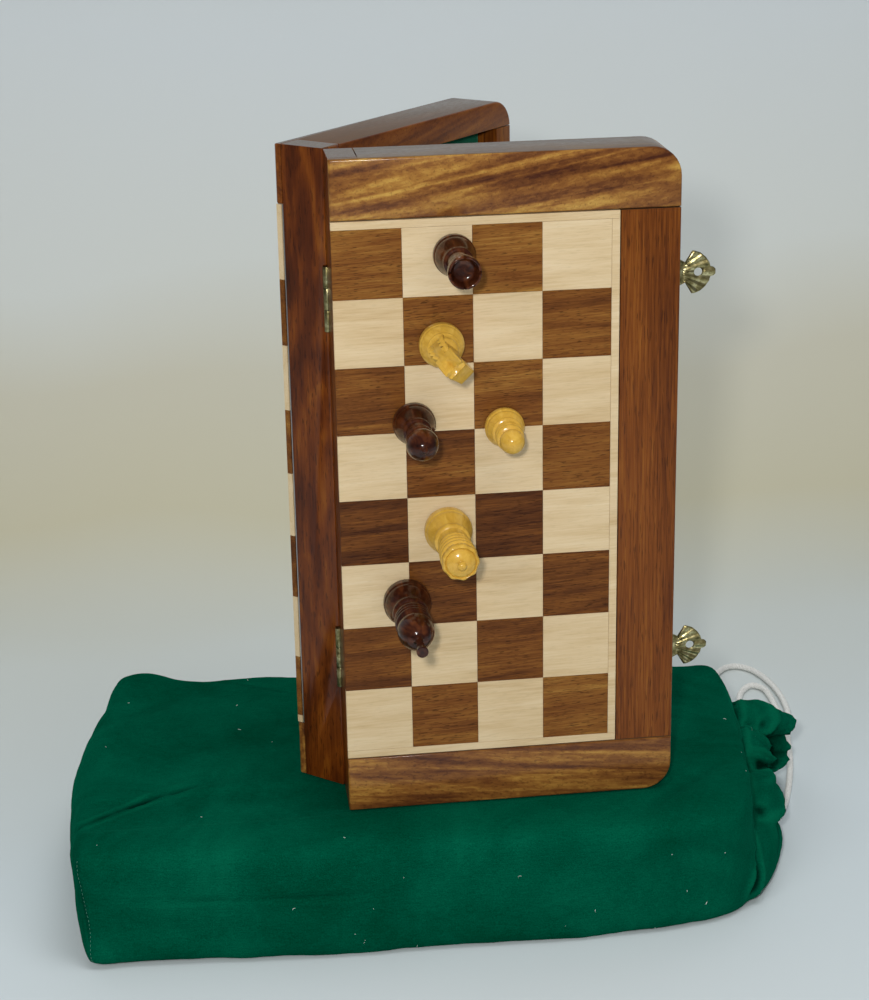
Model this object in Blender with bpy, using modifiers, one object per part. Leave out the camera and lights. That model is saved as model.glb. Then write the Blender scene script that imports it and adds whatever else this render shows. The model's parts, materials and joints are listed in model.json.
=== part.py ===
"""Folding magnetic chess set standing half open on its drawstring bag.

Units are metres with +Z up.  The origin is on the underside of the bag, at the
middle of its body.  X runs along the front half's width, away from the hinges,
and Y runs from the front half's playing face towards its seam.

A half of the box is described by three distances: across, from the hinge edge;
depth, from the seam towards the playing face; and height, from its lower end.
"""
import math
from collections import namedtuple

import bmesh
import bpy
from mathutils import Matrix, Vector

MM = 0.001

# Driving dimensions
SQUARE = 25.4 * MM
LENGTH = 10 * SQUARE
WIDTH = LENGTH / 2
THICK = 22.3 * MM
OPEN_ANGLE = math.radians(48.7)
GAP = 0.3 * MM
SEAM = GAP / 2

# Frame of a half
RAIL_FACE = 22.1 * MM
RAIL_WALL = 10.5 * MM
FACE_THICK = 2.9 * MM
CORNER_RADIUS = 11.0 * MM
CORNER_STEPS = 8
SHEET_THICK = 0.4 * MM
PANEL_THICK = 2.2 * MM
FACE_BACK = THICK - FACE_THICK
RAIL_INNER = RAIL_WALL + GAP
OUTER_WALL = WIDTH - RAIL_WALL
OUTER_FACE = WIDTH - RAIL_FACE
OUTSIDE = 2 * THICK

# Tray and its pockets
TRAY_TOP = 8.0 * MM
POCKET_FLOOR = 18.5 * MM
POCKET_PITCH = 27.5 * MM
POCKET_COUNT = 8
PAWN_POCKET_HALF = 8.4 * MM
MAJOR_POCKET_HALF = 9.8 * MM
POCKET_FOOT_ROOM = 1.4 * MM
POCKET_HEAD_ROOM = 2.0 * MM
LYING_DEPTH = 9.3 * MM
PAWN_BASE_AT = 15.2 * MM
MAJOR_BASE_AT = 112.6 * MM

# Butt hinges
HINGE_HEIGHTS = (55.5 * MM, 198.5 * MM)
BARREL_RADIUS = 1.5 * MM
BARREL_CLEAR = 1.85 * MM
BORE_RADIUS = 0.8 * MM
PIN_RADIUS = 0.7 * MM
KNUCKLE = 8.0 * MM
KNUCKLE_GAP = 0.25 * MM
HINGE_HALF = 1.5 * KNUCKLE + KNUCKLE_GAP
LEAF_THICK = 0.8 * MM
LEAF_FAR = 9.4 * MM
LEAF_NEAR = 2.0 * MM
LEAF_ROOT = 1.0 * MM
ROUND_STEPS = 12

# Latches
LATCH_HEIGHTS = (51.5 * MM, 202.5 * MM)
LATCH_AXIS = (WIDTH + 1.9 * MM, 1.5 * MM)
PLATE_THICK = 0.8 * MM
PLATE_HALF = 7.7 * MM
PLATE_DEPTH = (0.6 * MM, 12.0 * MM)
HASP_BARREL_RADIUS = 1.0 * MM
HASP_BARREL_HALF = 5.3 * MM
EAR_RADIUS = 1.15 * MM
EAR_BORE = 0.65 * MM
TRUNNION_RADIUS = 0.55 * MM
HASP_THICK = 0.8 * MM
HASP_HOLE = (9.8 * MM, 1.6 * MM)
STUD_RADIUS = 1.2 * MM
STUD_HEAD = 1.4 * MM
STUD_BASE = 2.6 * MM
STUD_TALL = 3.6 * MM

# Bag
BAG_TURN = math.radians(-5.5)
BAG_HEIGHT = 48.0 * MM
BAG_RING_POINTS = 28
HINGE_PLACE = Vector((-32.7 * MM, -27.0 * MM, BAG_HEIGHT + GAP))
CORD_RADIUS = 1.5 * MM
CORD_STEP = 7.0 * MM

# Men, each as (radius, height) in millimetres from the tip down to the base
MAN_STEPS = {"pawn": 10, "rook": 12, "knight": 12, "bishop": 12, "queen": 12, "king": 12}
MAN_PROFILES = {
    "pawn": [(0, 24), (3.6, 22.3), (4.6, 19.5), (3.3, 16.4), (5.1, 15.0), (4.3, 11.9),
             (5.5, 8.2), (7.35, 4.2), (7.35, 0.4), (6.9, 0), (0, 0)],
    "rook": [(0, 26.6), (4.2, 26.6), (5.0, 30), (5.9, 30), (6.0, 26.0), (4.4, 24.4),
             (4.5, 12), (6.0, 9.0), (7.7, 5.2), (7.7, 0.4), (7.2, 0), (0, 0)],
    "knight": [(0, 12), (4.4, 11.6), (5.0, 8.8), (6.6, 7.0), (8.25, 4.6), (8.25, 0.4),
               (7.8, 0), (0, 0)],
    "bishop": [(0, 35.5), (1.3, 34.6), (4.6, 31.6), (5.9, 27.6), (4.4, 23.4), (4.9, 20.6),
               (3.6, 18.6), (4.6, 12.0), (7.9, 5.2), (7.9, 0.4), (7.4, 0), (0, 0)],
    "queen": [(0, 41), (1.7, 39.6), (1.3, 38.3), (5.6, 36.8), (6.9, 35.4), (6.0, 32.2),
              (6.7, 30.8), (6.2, 23.6), (5.2, 18.0), (6.8, 13.4), (6.8, 9.4), (8.9, 4.8),
              (8.9, 0.4), (8.3, 0), (0, 0)],
    "king": [(0, 50), (2.1, 49.8), (1.3, 42.0), (2.1, 38.9), (5.4, 35.9), (6.85, 31.0),
             (6.6, 19.0), (5.6, 16.4), (6.7, 13.4), (6.7, 9.6), (8.95, 4.8), (8.95, 0.4),
             (8.4, 0), (0, 0)],
}
KNIGHT_HEAD = [(-4.4, 8), (-5.6, 14), (-5.2, 22), (-2.8, 28.4), (-0.8, 32.0), (0.2, 34),
               (1.6, 31.4), (4.6, 28.6), (8.6, 25.4), (9.2, 22.0), (6.6, 20.8), (3.6, 22.4),
               (2.4, 20), (3.4, 15), (4.6, 8)]
KNIGHT_THICK = 7.6 * MM
BACK_RANK = ("rook", "knight", "bishop", "queen", "king", "bishop", "knight", "rook")

# Men on the front face: across and height of the base's middle, and the turn about its axis
ON_FACE = {
    "black_rook_1": (43.9, 218.5, 0),
    "white_knight_1": (38.5, 186.0, -45),
    "black_bishop_1": (28.2, 156.5, 0),
    "white_pawn_1": (61.6, 153.2, 0),
    "white_queen": (40.1, 114.3, 0),
    "black_king": (24.1, 86.6, 0),
}

# The bag's sections, in millimetres along the bag: place, middle across, half width,
# middle height, half height and squareness
BAG_SECTIONS = [
    (-140.5, -5, 20, 31, 9, 2.4),
    (-138.5, -4, 42, 29, 15, 3.0),
    (-135, -3, 62, 26.5, 20.5, 4.2),
    (-131, -3.5, 74, 25, 23.5, 5.6),
    (-124, -3.5, 77.5, 24, 25, 7.0),
    (-60, -3, 78, 24, 25, 7.0),
    (0, -1.5, 77, 24, 25, 7.0),
    (84, 1.5, 73.5, 24, 25, 7.0),
    (112, 3, 71.5, 24, 25, 6.6),
    (124, 5, 68.5, 24, 25, 6.0),
    (131, 7.5, 62, 24, 24.4, 4.6),
    (135, 9, 52, 23, 22, 3.6),
    (140, 10, 46, 20, 19, 3.0),
    (147, 16, 38, 20, 16, 2.6),
    (154, 26, 31, 21, 14, 2.4),
    (160, 38, 22, 24, 11.5, 2.2),
    (166, 44, 14, 26, 8, 2.0),
]

# The drawstring's route in the bag's own frame, in millimetres
CORD_ROUTE = [
    (149, 62, 13), (149.5, 71, 9.5), (148.5, 84, 4), (146, 102, 1.8), (144.5, 126, 1.7),
    (146, 150, 1.7), (149.5, 168, 1.7), (155, 177, 1.7), (161.5, 179.5, 1.7),
    (168.5, 174.5, 1.7), (173.5, 163, 1.7), (176.5, 149, 1.7), (177.5, 133, 1.7),
    (176, 117, 1.7), (169.5, 105, 1.7), (161, 103.5, 1.7), (155.5, 112, 1.7),
    (154.8, 127, 1.7), (157, 142, 1.7), (161, 152, 1.7), (166, 156, 1.7),
    (170.6, 151.5, 1.7), (172.2, 141, 1.7), (172.3, 129, 2.2), (172.2, 119, 4.1),
    (172, 108, 5.4), (171.6, 97, 4.1), (170.6, 86, 2.2), (168.6, 72, 1.7),
    (165.6, 57, 1.7), (162.2, 43, 1.7), (158.6, 31, 1.8), (155, 22, 3.2),
]

Half = namedtuple("Half", "name side colour angle")
FRONT = Half("front", -1, "black", 0.0)
REAR = Half("rear", 1, "white", OPEN_ANGLE)

COLOURS = {
    "rosewood": ((0.30, 0.13, 0.045), 0.32, 0.0),
    "dark_rosewood": ((0.16, 0.05, 0.02), 0.28, 0.0),
    "veneer": ((0.62, 0.46, 0.27), 0.36, 0.0),
    "boxwood": ((0.72, 0.43, 0.11), 0.30, 0.0),
    "black_man": ((0.09, 0.022, 0.012), 0.20, 0.0),
    "steel": ((0.56, 0.57, 0.58), 0.35, 1.0),
    "tray_green": ((0.01, 0.13, 0.07), 0.90, 0.0),
    "brass": ((0.44, 0.34, 0.15), 0.38, 1.0),
    "bag_green": ((0.0, 0.14, 0.08), 0.95, 0.0),
    "cord": ((0.78, 0.77, 0.74), 0.40, 0.0),
}


def clear_scene():
    for existing in list(bpy.data.objects):
        bpy.data.objects.remove(existing, do_unlink=True)


def make_collection(name):
    collection = bpy.data.collections.new(name)
    bpy.context.scene.collection.children.link(collection)
    return collection


def make_materials():
    materials = {}
    for name, (colour, roughness, metallic) in COLOURS.items():
        material = bpy.data.materials.new(name)
        material.use_nodes = True
        shader = material.node_tree.nodes["Principled BSDF"]
        shader.inputs["Base Color"].default_value = (*colour, 1.0)
        shader.inputs["Roughness"].default_value = roughness
        shader.inputs["Metallic"].default_value = metallic
        materials[name] = material
    return materials


clear_scene()
PARTS = make_collection("folding_chess_set")
CUTTERS = make_collection("cutters")
MATERIALS = make_materials()


def add_empty(name, place, turn):
    empty = bpy.data.objects.new(name, None)
    empty.location = place
    empty.rotation_euler = (0, 0, turn)
    PARTS.objects.link(empty)
    return empty


def add_part(name, mesh, parent, material):
    """A node with its own copy of the material, linked to the object."""
    part = bpy.data.objects.new(name, mesh)
    part.parent = parent
    PARTS.objects.link(part)
    own = MATERIALS[material].copy()
    own.name = name
    if not part.data.materials:
        part.data.materials.append(None)
    part.material_slots[0].link = "OBJECT"
    part.material_slots[0].material = own
    return part


def combine(part, mesh, operation="DIFFERENCE"):
    """Cuts a mesh out of a part, or joins it to the part, in the part's own frame."""
    tool = bpy.data.objects.new(f"{part.name}_{mesh.name}", mesh)
    tool.parent = part.parent
    tool.matrix_basis = part.matrix_basis
    tool.hide_render = True
    tool.display_type = "WIRE"
    CUTTERS.objects.link(tool)
    modifier = part.modifiers.new(mesh.name, "BOOLEAN")
    modifier.operation = operation
    modifier.solver = "EXACT"
    modifier.object = tool


def to_mesh(name, work):
    mesh = bpy.data.meshes.new(name)
    bmesh.ops.recalc_face_normals(work, faces=work.faces)
    work.to_mesh(mesh)
    work.free()
    return mesh


def add_block(work, low, high):
    middle = (Vector(low) + Vector(high)) / 2
    size = Vector(high) - Vector(low)
    bmesh.ops.create_cube(work, size=1, matrix=Matrix.Translation(middle) @ Matrix.Diagonal((*size, 1)))


def add_rod(work, radius, start, end, steps=ROUND_STEPS):
    start = Vector(start)
    along = Vector(end) - start
    turn = along.to_track_quat("Z", "Y").to_matrix().to_4x4()
    bmesh.ops.create_cone(
        work, cap_ends=True, segments=steps, radius1=radius, radius2=radius, depth=along.length,
        matrix=Matrix.Translation(start + along / 2) @ turn)


def block_mesh(name, *corners):
    """One mesh of a block for each pair of corners."""
    work = bmesh.new()
    for low, high in corners:
        add_block(work, low, high)
    return to_mesh(name, work)


def rod_mesh(name, radius, start, end, steps=ROUND_STEPS):
    work = bmesh.new()
    add_rod(work, radius, start, end, steps)
    return to_mesh(name, work)


def slab(half, across, depth, height):
    """The two corners of a block in a half, from its across, depth and height ranges."""
    near, far = sorted(half.side * d for d in depth)
    return (across[0], near, height[0]), (across[1], far, height[1])


def evaluated_mesh(name, source):
    """The mesh a temporary object evaluates to, welded.  The object is removed."""
    bpy.context.view_layer.update()
    graph = bpy.context.evaluated_depsgraph_get()
    mesh = bpy.data.meshes.new_from_object(source.evaluated_get(graph))
    mesh.name = name
    work = bmesh.new()
    work.from_mesh(mesh)
    bmesh.ops.remove_doubles(work, verts=work.verts, dist=1e-6)
    work.to_mesh(mesh)
    work.free()
    bpy.data.objects.remove(source, do_unlink=True)
    return mesh


def plate_mesh(name, outlines, depth):
    """A flat plate from outlines in X and Z, reaching over a range of Y."""
    curve = bpy.data.curves.new(name, "CURVE")
    curve.dimensions = "2D"
    curve.fill_mode = "BOTH"
    curve.extrude = abs(depth[1] - depth[0]) / 2
    for outline in outlines:
        spline = curve.splines.new("POLY")
        spline.points.add(len(outline) - 1)
        spline.use_cyclic_u = True
        for point, (x, z) in zip(spline.points, outline):
            point.co = (x, z, 0, 1)
    source = bpy.data.objects.new(name, curve)
    bpy.context.scene.collection.objects.link(source)
    mesh = evaluated_mesh(name, source)
    bpy.data.curves.remove(curve)
    stand = Matrix.Translation((0, sum(depth) / 2, 0)) @ Matrix.Rotation(math.pi / 2, 4, "X")
    mesh.transform(stand)
    return mesh


def arc(centre, radius, start, end, steps):
    points = []
    for step in range(steps + 1):
        angle = math.radians(start + (end - start) * step / steps)
        points.append((centre[0] + radius * math.cos(angle), centre[1] + radius * math.sin(angle)))
    return points


def upside_down(outline):
    return [(x, LENGTH - z) for x, z in reversed(outline)]


# ---- Frame of each half ----

def add_end_rail(half, parent, name, flip):
    """The upper or lower rail: a face board and a wall in one, with rounded outer corner."""
    corner = (WIDTH - CORNER_RADIUS, LENGTH - CORNER_RADIUS)
    outline = [(SEAM, LENGTH - RAIL_FACE), (WIDTH, LENGTH - RAIL_FACE)]
    outline += arc(corner, CORNER_RADIUS, 0, 90, CORNER_STEPS)
    outline += [(SEAM, LENGTH)]
    wall = (LENGTH - OUTSIDE, LENGTH - RAIL_WALL)
    if flip:
        outline = upside_down(outline)
        wall = (RAIL_WALL, OUTSIDE)
    depth = [half.side * SEAM, half.side * THICK]
    rail = add_part(name, plate_mesh(name, [outline], depth), parent, "rosewood")
    behind = (-OUTSIDE, FACE_BACK)
    panel_rabbet = slab(half, (-OUTSIDE, WIDTH + OUTSIDE), behind, wall)
    spine_rabbet = slab(half, (-OUTSIDE, RAIL_INNER), behind, (-OUTSIDE, LENGTH + OUTSIDE))
    combine(rail, block_mesh("panel_rabbet", panel_rabbet))
    combine(rail, block_mesh("spine_rabbet", spine_rabbet))


def add_outer_rail(half, parent, name):
    body = slab(half, (OUTER_FACE, WIDTH), (SEAM, THICK), (RAIL_INNER, LENGTH - RAIL_INNER))
    rail = add_part(name, block_mesh(name, body), parent, "rosewood")
    panel_rabbet = slab(half, (0, OUTER_WALL), (-OUTSIDE, FACE_BACK), (-OUTSIDE, LENGTH + OUTSIDE))
    combine(rail, block_mesh("panel_rabbet", panel_rabbet))
    over = (FACE_BACK - GAP, OUTSIDE)
    everywhere = (0, WIDTH + OUTSIDE)
    low_lap = slab(half, everywhere, over, (-OUTSIDE, RAIL_FACE + GAP))
    high_lap = slab(half, everywhere, over, (LENGTH - RAIL_FACE - GAP, LENGTH + OUTSIDE))
    combine(rail, block_mesh("end_laps", low_lap, high_lap))


def add_spine_rail(half, parent, name):
    body = slab(half, (SEAM, RAIL_WALL), (SEAM, FACE_BACK - GAP), (0, LENGTH))
    rail = add_part(name, block_mesh(name, body), parent, "dark_rosewood")
    mortises = []
    for height in HINGE_HEIGHTS:
        reach = (height - HINGE_HALF - GAP, height + HINGE_HALF + GAP)
        mortises.append(slab(half, (-OUTSIDE, LEAF_FAR + GAP), (-OUTSIDE, SEAM + LEAF_THICK + GAP), reach))
    combine(rail, block_mesh("leaf_mortises", *mortises))
    work = bmesh.new()
    for height in HINGE_HEIGHTS:
        low = (0, 0, height - HINGE_HALF - GAP)
        high = (0, 0, height + HINGE_HALF + GAP)
        add_rod(work, BARREL_CLEAR, low, high, 2 * ROUND_STEPS)
    combine(rail, to_mesh("barrel_grooves", work))


def add_board(half, parent, sheet_name, panel_name):
    rows = (RAIL_FACE + GAP, LENGTH - RAIL_FACE - GAP)
    sheet_depth = (FACE_BACK, FACE_BACK + SHEET_THICK)
    sheet = slab(half, (0.5 * MM, OUTER_FACE - 2 * GAP), sheet_depth, rows)
    add_part(sheet_name, block_mesh(sheet_name, sheet), parent, "steel")
    panel = slab(half, (SEAM, OUTER_FACE - GAP), (THICK - PANEL_THICK, THICK), rows)
    add_part(panel_name, block_mesh(panel_name, panel), parent, "veneer")


def pocket_height(index):
    return LENGTH / 2 + (index - (POCKET_COUNT - 1) / 2) * POCKET_PITCH


def man_height(kind):
    outline = KNIGHT_HEAD if kind == "knight" else MAN_PROFILES[kind]
    return max(height for _, height in outline) * MM


def pocket_across(kind):
    """How far a pocket reaches across: the length of its man and a little room at both ends."""
    length = man_height(kind) + POCKET_HEAD_ROOM
    if kind == "pawn":
        return PAWN_BASE_AT - POCKET_FOOT_ROOM, PAWN_BASE_AT + length
    return MAJOR_BASE_AT - length, MAJOR_BASE_AT + POCKET_FOOT_ROOM


def add_tray(half, parent, name):
    inside = (RAIL_INNER, LENGTH - RAIL_INNER)
    body = slab(half, (RAIL_INNER, OUTER_WALL - GAP), (TRAY_TOP, FACE_BACK - GAP), inside)
    tray = add_part(name, block_mesh(name, body), parent, "tray_green")
    pockets = []
    for index in range(POCKET_COUNT):
        middle = pocket_height(index)
        for kind, reach in (("pawn", PAWN_POCKET_HALF), (BACK_RANK[index], MAJOR_POCKET_HALF)):
            span = (middle - reach, middle + reach)
            pockets.append(slab(half, pocket_across(kind), (0, POCKET_FLOOR), span))
    combine(tray, block_mesh("pockets", *pockets))


def add_half(half, parent):
    add_end_rail(half, parent, f"{half.name}_top_rail", False)
    add_end_rail(half, parent, f"{half.name}_bottom_rail", True)
    add_outer_rail(half, parent, f"{half.name}_outer_rail")
    add_spine_rail(half, parent, f"{half.name}_spine_rail")
    add_board(half, parent, f"{half.name}_steel_sheet", f"{half.name}_board_panel")
    add_tray(half, parent, f"{half.name}_piece_tray")


# ---- Hinges between the halves ----

def knuckle_spans(half, height):
    """The stretches of the hinge barrel that belong to one half's leaf."""
    if half.side > 0:
        return [(height - KNUCKLE / 2, height + KNUCKLE / 2)]
    low, high = height - HINGE_HALF, height + HINGE_HALF
    return [(low, low + KNUCKLE), (high - KNUCKLE, high)]


def add_leaf(half, parent, name, height):
    depth = (SEAM, SEAM + LEAF_THICK)
    plate = slab(half, (LEAF_NEAR, LEAF_FAR), depth, (height - HINGE_HALF, height + HINGE_HALF))
    leaf = add_part(name, block_mesh(name, plate), parent, "brass")
    for number, span in enumerate(knuckle_spans(half, height), 1):
        tab = slab(half, (LEAF_ROOT, LEAF_NEAR + SEAM), depth, span)
        combine(leaf, block_mesh(f"tab_{number}", tab), "UNION")
        barrel = rod_mesh(f"barrel_{number}", BARREL_RADIUS, (0, 0, span[0]), (0, 0, span[1]))
        combine(leaf, barrel, "UNION")
    low, high = height - 2 * HINGE_HALF, height + 2 * HINGE_HALF
    combine(leaf, rod_mesh("bore", BORE_RADIUS, (0, 0, low), (0, 0, high)))


def add_hinges(front, rear):
    for label, height in zip(("lower", "upper"), HINGE_HEIGHTS):
        add_leaf(FRONT, front, f"{label}_hinge_front_leaf", height)
        add_leaf(REAR, rear, f"{label}_hinge_rear_leaf", height)
        name = f"{label}_hinge_pin"
        pin = rod_mesh(name, PIN_RADIUS, (0, 0, height - HINGE_HALF), (0, 0, height + HINGE_HALF))
        add_part(name, pin, front, "brass")


# ---- Hook-over latches on the outer rails ----

def add_latch_plate(parent, name, height):
    """A plate on the front half's side with two ears that carry the hasp."""
    face = WIDTH + GAP
    body = slab(FRONT, (face, face + PLATE_THICK), PLATE_DEPTH, (height - PLATE_HALF, height + PLATE_HALF))
    plate = add_part(name, block_mesh(name, body), parent, "brass")
    reach = HASP_BARREL_HALF + 2 * GAP
    notch = slab(FRONT, (0, WIDTH + OUTSIDE), (-OUTSIDE, 3.0 * MM), (height - reach, height + reach))
    combine(plate, block_mesh("notch", notch))
    across, depth = LATCH_AXIS
    for number, side in enumerate((-1, 1), 1):
        inner = (across, -depth, height + side * reach)
        outer = (across, -depth, height + side * PLATE_HALF)
        combine(plate, rod_mesh(f"ear_{number}", EAR_RADIUS, inner, outer), "UNION")
    low = (across, -depth, height - 2 * PLATE_HALF)
    high = (across, -depth, height + 2 * PLATE_HALF)
    combine(plate, rod_mesh("bore", EAR_BORE, low, high))


def hasp_outline():
    """A fan on a narrow neck, from the hasp's own axis outwards."""
    half_outline = [(0.4, 5.2), (2.4, 5.2), (3.0, 3.4), (4.4, 3.2), (7.6, 8.2), (9.8, 7.7),
                    (12.0, 6.2), (14.0, 3.6), (14.6, 1.8), (15.8, 1.5), (16.4, 0)]
    upper = [(x * MM, z * MM) for x, z in half_outline]
    return upper + [(x, -z) for x, z in reversed(upper[:-1])]


def add_hasp(front, name, height):
    """The swinging fan, in an empty on its own axis."""
    across, depth = LATCH_AXIS
    axis = add_empty(f"{name}_axis", (across, -depth, height), 0)
    axis.parent = front
    barrel = rod_mesh(name, HASP_BARREL_RADIUS, (0, 0, -HASP_BARREL_HALF), (0, 0, HASP_BARREL_HALF))
    hasp = add_part(name, barrel, axis, "brass")
    reach = PLATE_HALF - GAP
    combine(hasp, rod_mesh("trunnions", TRUNNION_RADIUS, (0, 0, -reach), (0, 0, reach)), "UNION")
    hole = arc((HASP_HOLE[0], 0), HASP_HOLE[1], 360, 30, ROUND_STEPS - 1)
    half_thick = HASP_THICK / 2
    fan = plate_mesh("fan", [hasp_outline(), hole], (-half_thick, half_thick))
    combine(hasp, fan, "UNION")


def add_stud(rear, name, height):
    """The stud that the hasp's hole drops over when the box is shut."""
    depth = HASP_HOLE[0] - LATCH_AXIS[1]
    foot = WIDTH + GAP
    parts = ((STUD_BASE, 0, 0.7 * MM), (STUD_RADIUS, 0.1 * MM, STUD_TALL - 0.9 * MM),
             (STUD_HEAD, STUD_TALL - 1.2 * MM, STUD_TALL))
    meshes = []
    for radius, start, end in parts:
        low = (foot + start, depth, height)
        high = (foot + end, depth, height)
        meshes.append(rod_mesh(f"stage_{len(meshes)}", radius, low, high))
    stud = add_part(name, meshes[0], rear, "brass")
    for mesh in meshes[1:]:
        combine(stud, mesh, "UNION")


def add_latches(front, rear):
    for label, height in zip(("lower", "upper"), LATCH_HEIGHTS):
        add_latch_plate(front, f"{label}_latch_plate", height)
        add_hasp(front, f"{label}_hasp", height)
        add_stud(rear, f"{label}_latch_stud", height)


# ---- Chess men ----

def turned_object(name, profile, steps):
    """An object whose Screw modifier turns a profile given in millimetres, tip first."""
    mesh = bpy.data.meshes.new(name)
    points = [(radius * MM, 0, height * MM) for radius, height in profile]
    edges = [(index, index + 1) for index in range(len(points) - 1)]
    mesh.from_pydata(points, edges, [])
    source = bpy.data.objects.new(name, mesh)
    bpy.context.scene.collection.objects.link(source)
    screw = source.modifiers.new("turn", "SCREW")
    screw.steps = steps
    screw.render_steps = steps
    screw.use_merge_vertices = True
    screw.merge_threshold = 1e-5
    screw.use_smooth_shade = True
    return source


def man_mesh(kind):
    source = turned_object(f"turned_{kind}", MAN_PROFILES[kind], MAN_STEPS[kind])
    if kind == "knight":
        outline = [(x * MM, z * MM) for x, z in KNIGHT_HEAD]
        combine(source, plate_mesh("head", [outline], (-KNIGHT_THICK / 2, KNIGHT_THICK / 2)), "UNION")
    return evaluated_mesh(kind, source)


def man_names(colour):
    """The names of one side's men with their kind and pocket, pawns first."""
    men = [(f"{colour}_pawn_{index + 1}", "pawn", index) for index in range(POCKET_COUNT)]
    for index, kind in enumerate(BACK_RANK):
        number = 1 + BACK_RANK[:index].count(kind)
        alone = BACK_RANK.count(kind) == 1
        men.append((f"{colour}_{kind}" if alone else f"{colour}_{kind}_{number}", kind, index))
    return men


def place_in_pocket(man, kind, index, half):
    """Lays a man along its pocket: pawns foot to the spine, the others foot outwards."""
    if kind == "pawn":
        across, lean = PAWN_BASE_AT, math.pi / 2
    else:
        across, lean = MAJOR_BASE_AT, -math.pi / 2
    man.location = (across, half.side * LYING_DEPTH, pocket_height(index))
    man.rotation_euler = (0, lean, 0)


def place_on_face(man, name):
    across, height, turn = ON_FACE[name]
    stand = Matrix.Rotation(math.pi / 2, 4, "X") @ Matrix.Rotation(math.radians(turn), 4, "Z")
    place = Matrix.Translation((across * MM, -THICK - GAP, height * MM))
    man.matrix_basis = place @ stand


def add_men(half, parent, front, meshes):
    material = "black_man" if half.colour == "black" else "boxwood"
    for name, kind, index in man_names(half.colour):
        if name in ON_FACE:
            place_on_face(add_part(name, meshes[kind], front, material), name)
        else:
            place_in_pocket(add_part(name, meshes[kind], parent, material), kind, index, half)


# ---- Bag and its drawstring ----

def bag_ring(place, middle, half_width, middle_height, half_height, square):
    """A rounded section of the bag, held between the floor and the bag's top."""
    ring = []
    for step in range(BAG_RING_POINTS):
        angle = 2 * math.pi * step / BAG_RING_POINTS
        across = math.copysign(abs(math.cos(angle)) ** (2 / square), math.cos(angle))
        up = math.copysign(abs(math.sin(angle)) ** (2 / square), math.sin(angle))
        height = min(max((middle_height + half_height * up) * MM, 0), BAG_HEIGHT)
        ring.append(Vector((place * MM, (middle + half_width * across) * MM, height)))
    return ring


def bag_mesh(name):
    work = bmesh.new()
    rings = [[work.verts.new(point) for point in bag_ring(*section)] for section in BAG_SECTIONS]
    for first, second in zip(rings, rings[1:]):
        for index in range(BAG_RING_POINTS):
            after = (index + 1) % BAG_RING_POINTS
            work.faces.new((first[index], first[after], second[after], second[index]))
    work.faces.new(rings[0])
    work.faces.new(rings[-1])
    return to_mesh(name, work)


def spline_point(before, start, end, after, t):
    """A Catmull-Rom curve from start to end."""
    return 0.5 * (2 * start + (end - before) * t + (2 * before - 5 * start + 4 * end - after) * t ** 2
                  + (3 * start - before - 3 * end + after) * t ** 3)


def smooth_route(route, step):
    """Points a fixed step apart on a smooth curve through the route."""
    points = [Vector(point) * MM for point in route]
    ends = [2 * points[0] - points[1]] + points + [2 * points[-1] - points[-2]]
    fine = []
    for index in range(len(points) - 1):
        fine += [spline_point(*ends[index:index + 4], t / 20) for t in range(20)]
    fine.append(points[-1])
    lengths = [0.0]
    for first, second in zip(fine, fine[1:]):
        lengths.append(lengths[-1] + (second - first).length)
    count = round(lengths[-1] / step)
    even = []
    for number in range(count + 1):
        wanted = lengths[-1] * number / count
        index = max(i for i, length in enumerate(lengths) if length <= wanted + 1e-9)
        index = min(index, len(fine) - 2)
        share = (wanted - lengths[index]) / (lengths[index + 1] - lengths[index])
        even.append(fine[index].lerp(fine[index + 1], share))
    return even


def add_cord(name, parent):
    curve = bpy.data.curves.new(name, "CURVE")
    curve.dimensions = "3D"
    curve.bevel_depth = CORD_RADIUS
    curve.bevel_resolution = 2
    curve.use_fill_caps = True
    points = smooth_route(CORD_ROUTE, CORD_STEP)
    spline = curve.splines.new("POLY")
    spline.points.add(len(points) - 1)
    for point, place in zip(spline.points, points):
        point.co = (*place, 1)
    add_part(name, curve, parent, "cord")


def main():
    bag_frame = add_empty("bag_frame", (0, 0, 0), BAG_TURN)
    front = add_empty("front_half", HINGE_PLACE, FRONT.angle)
    rear = add_empty("rear_half", HINGE_PLACE, REAR.angle)
    add_part("carry_bag", bag_mesh("carry_bag"), bag_frame, "bag_green")
    add_cord("bag_cord", bag_frame)
    add_half(FRONT, front)
    add_half(REAR, rear)
    add_hinges(front, rear)
    add_latches(front, rear)
    meshes = {kind: man_mesh(kind) for kind in MAN_PROFILES}
    add_men(FRONT, front, front, meshes)
    add_men(REAR, rear, front, meshes)


main()
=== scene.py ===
"""Looks of the folding chess set: woods, men, brass, velvet bag and cord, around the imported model.

Lengths are metres unless a name or a comment says millimetres.  A half of the box is
described by three distances: across, from the hinge edge; depth, from the seam towards
the playing face; and height, from its lower end.
"""
import json
import math
import random

import bmesh
import bpy
import numpy as np
from mathutils import Matrix, Vector, noise


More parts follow.
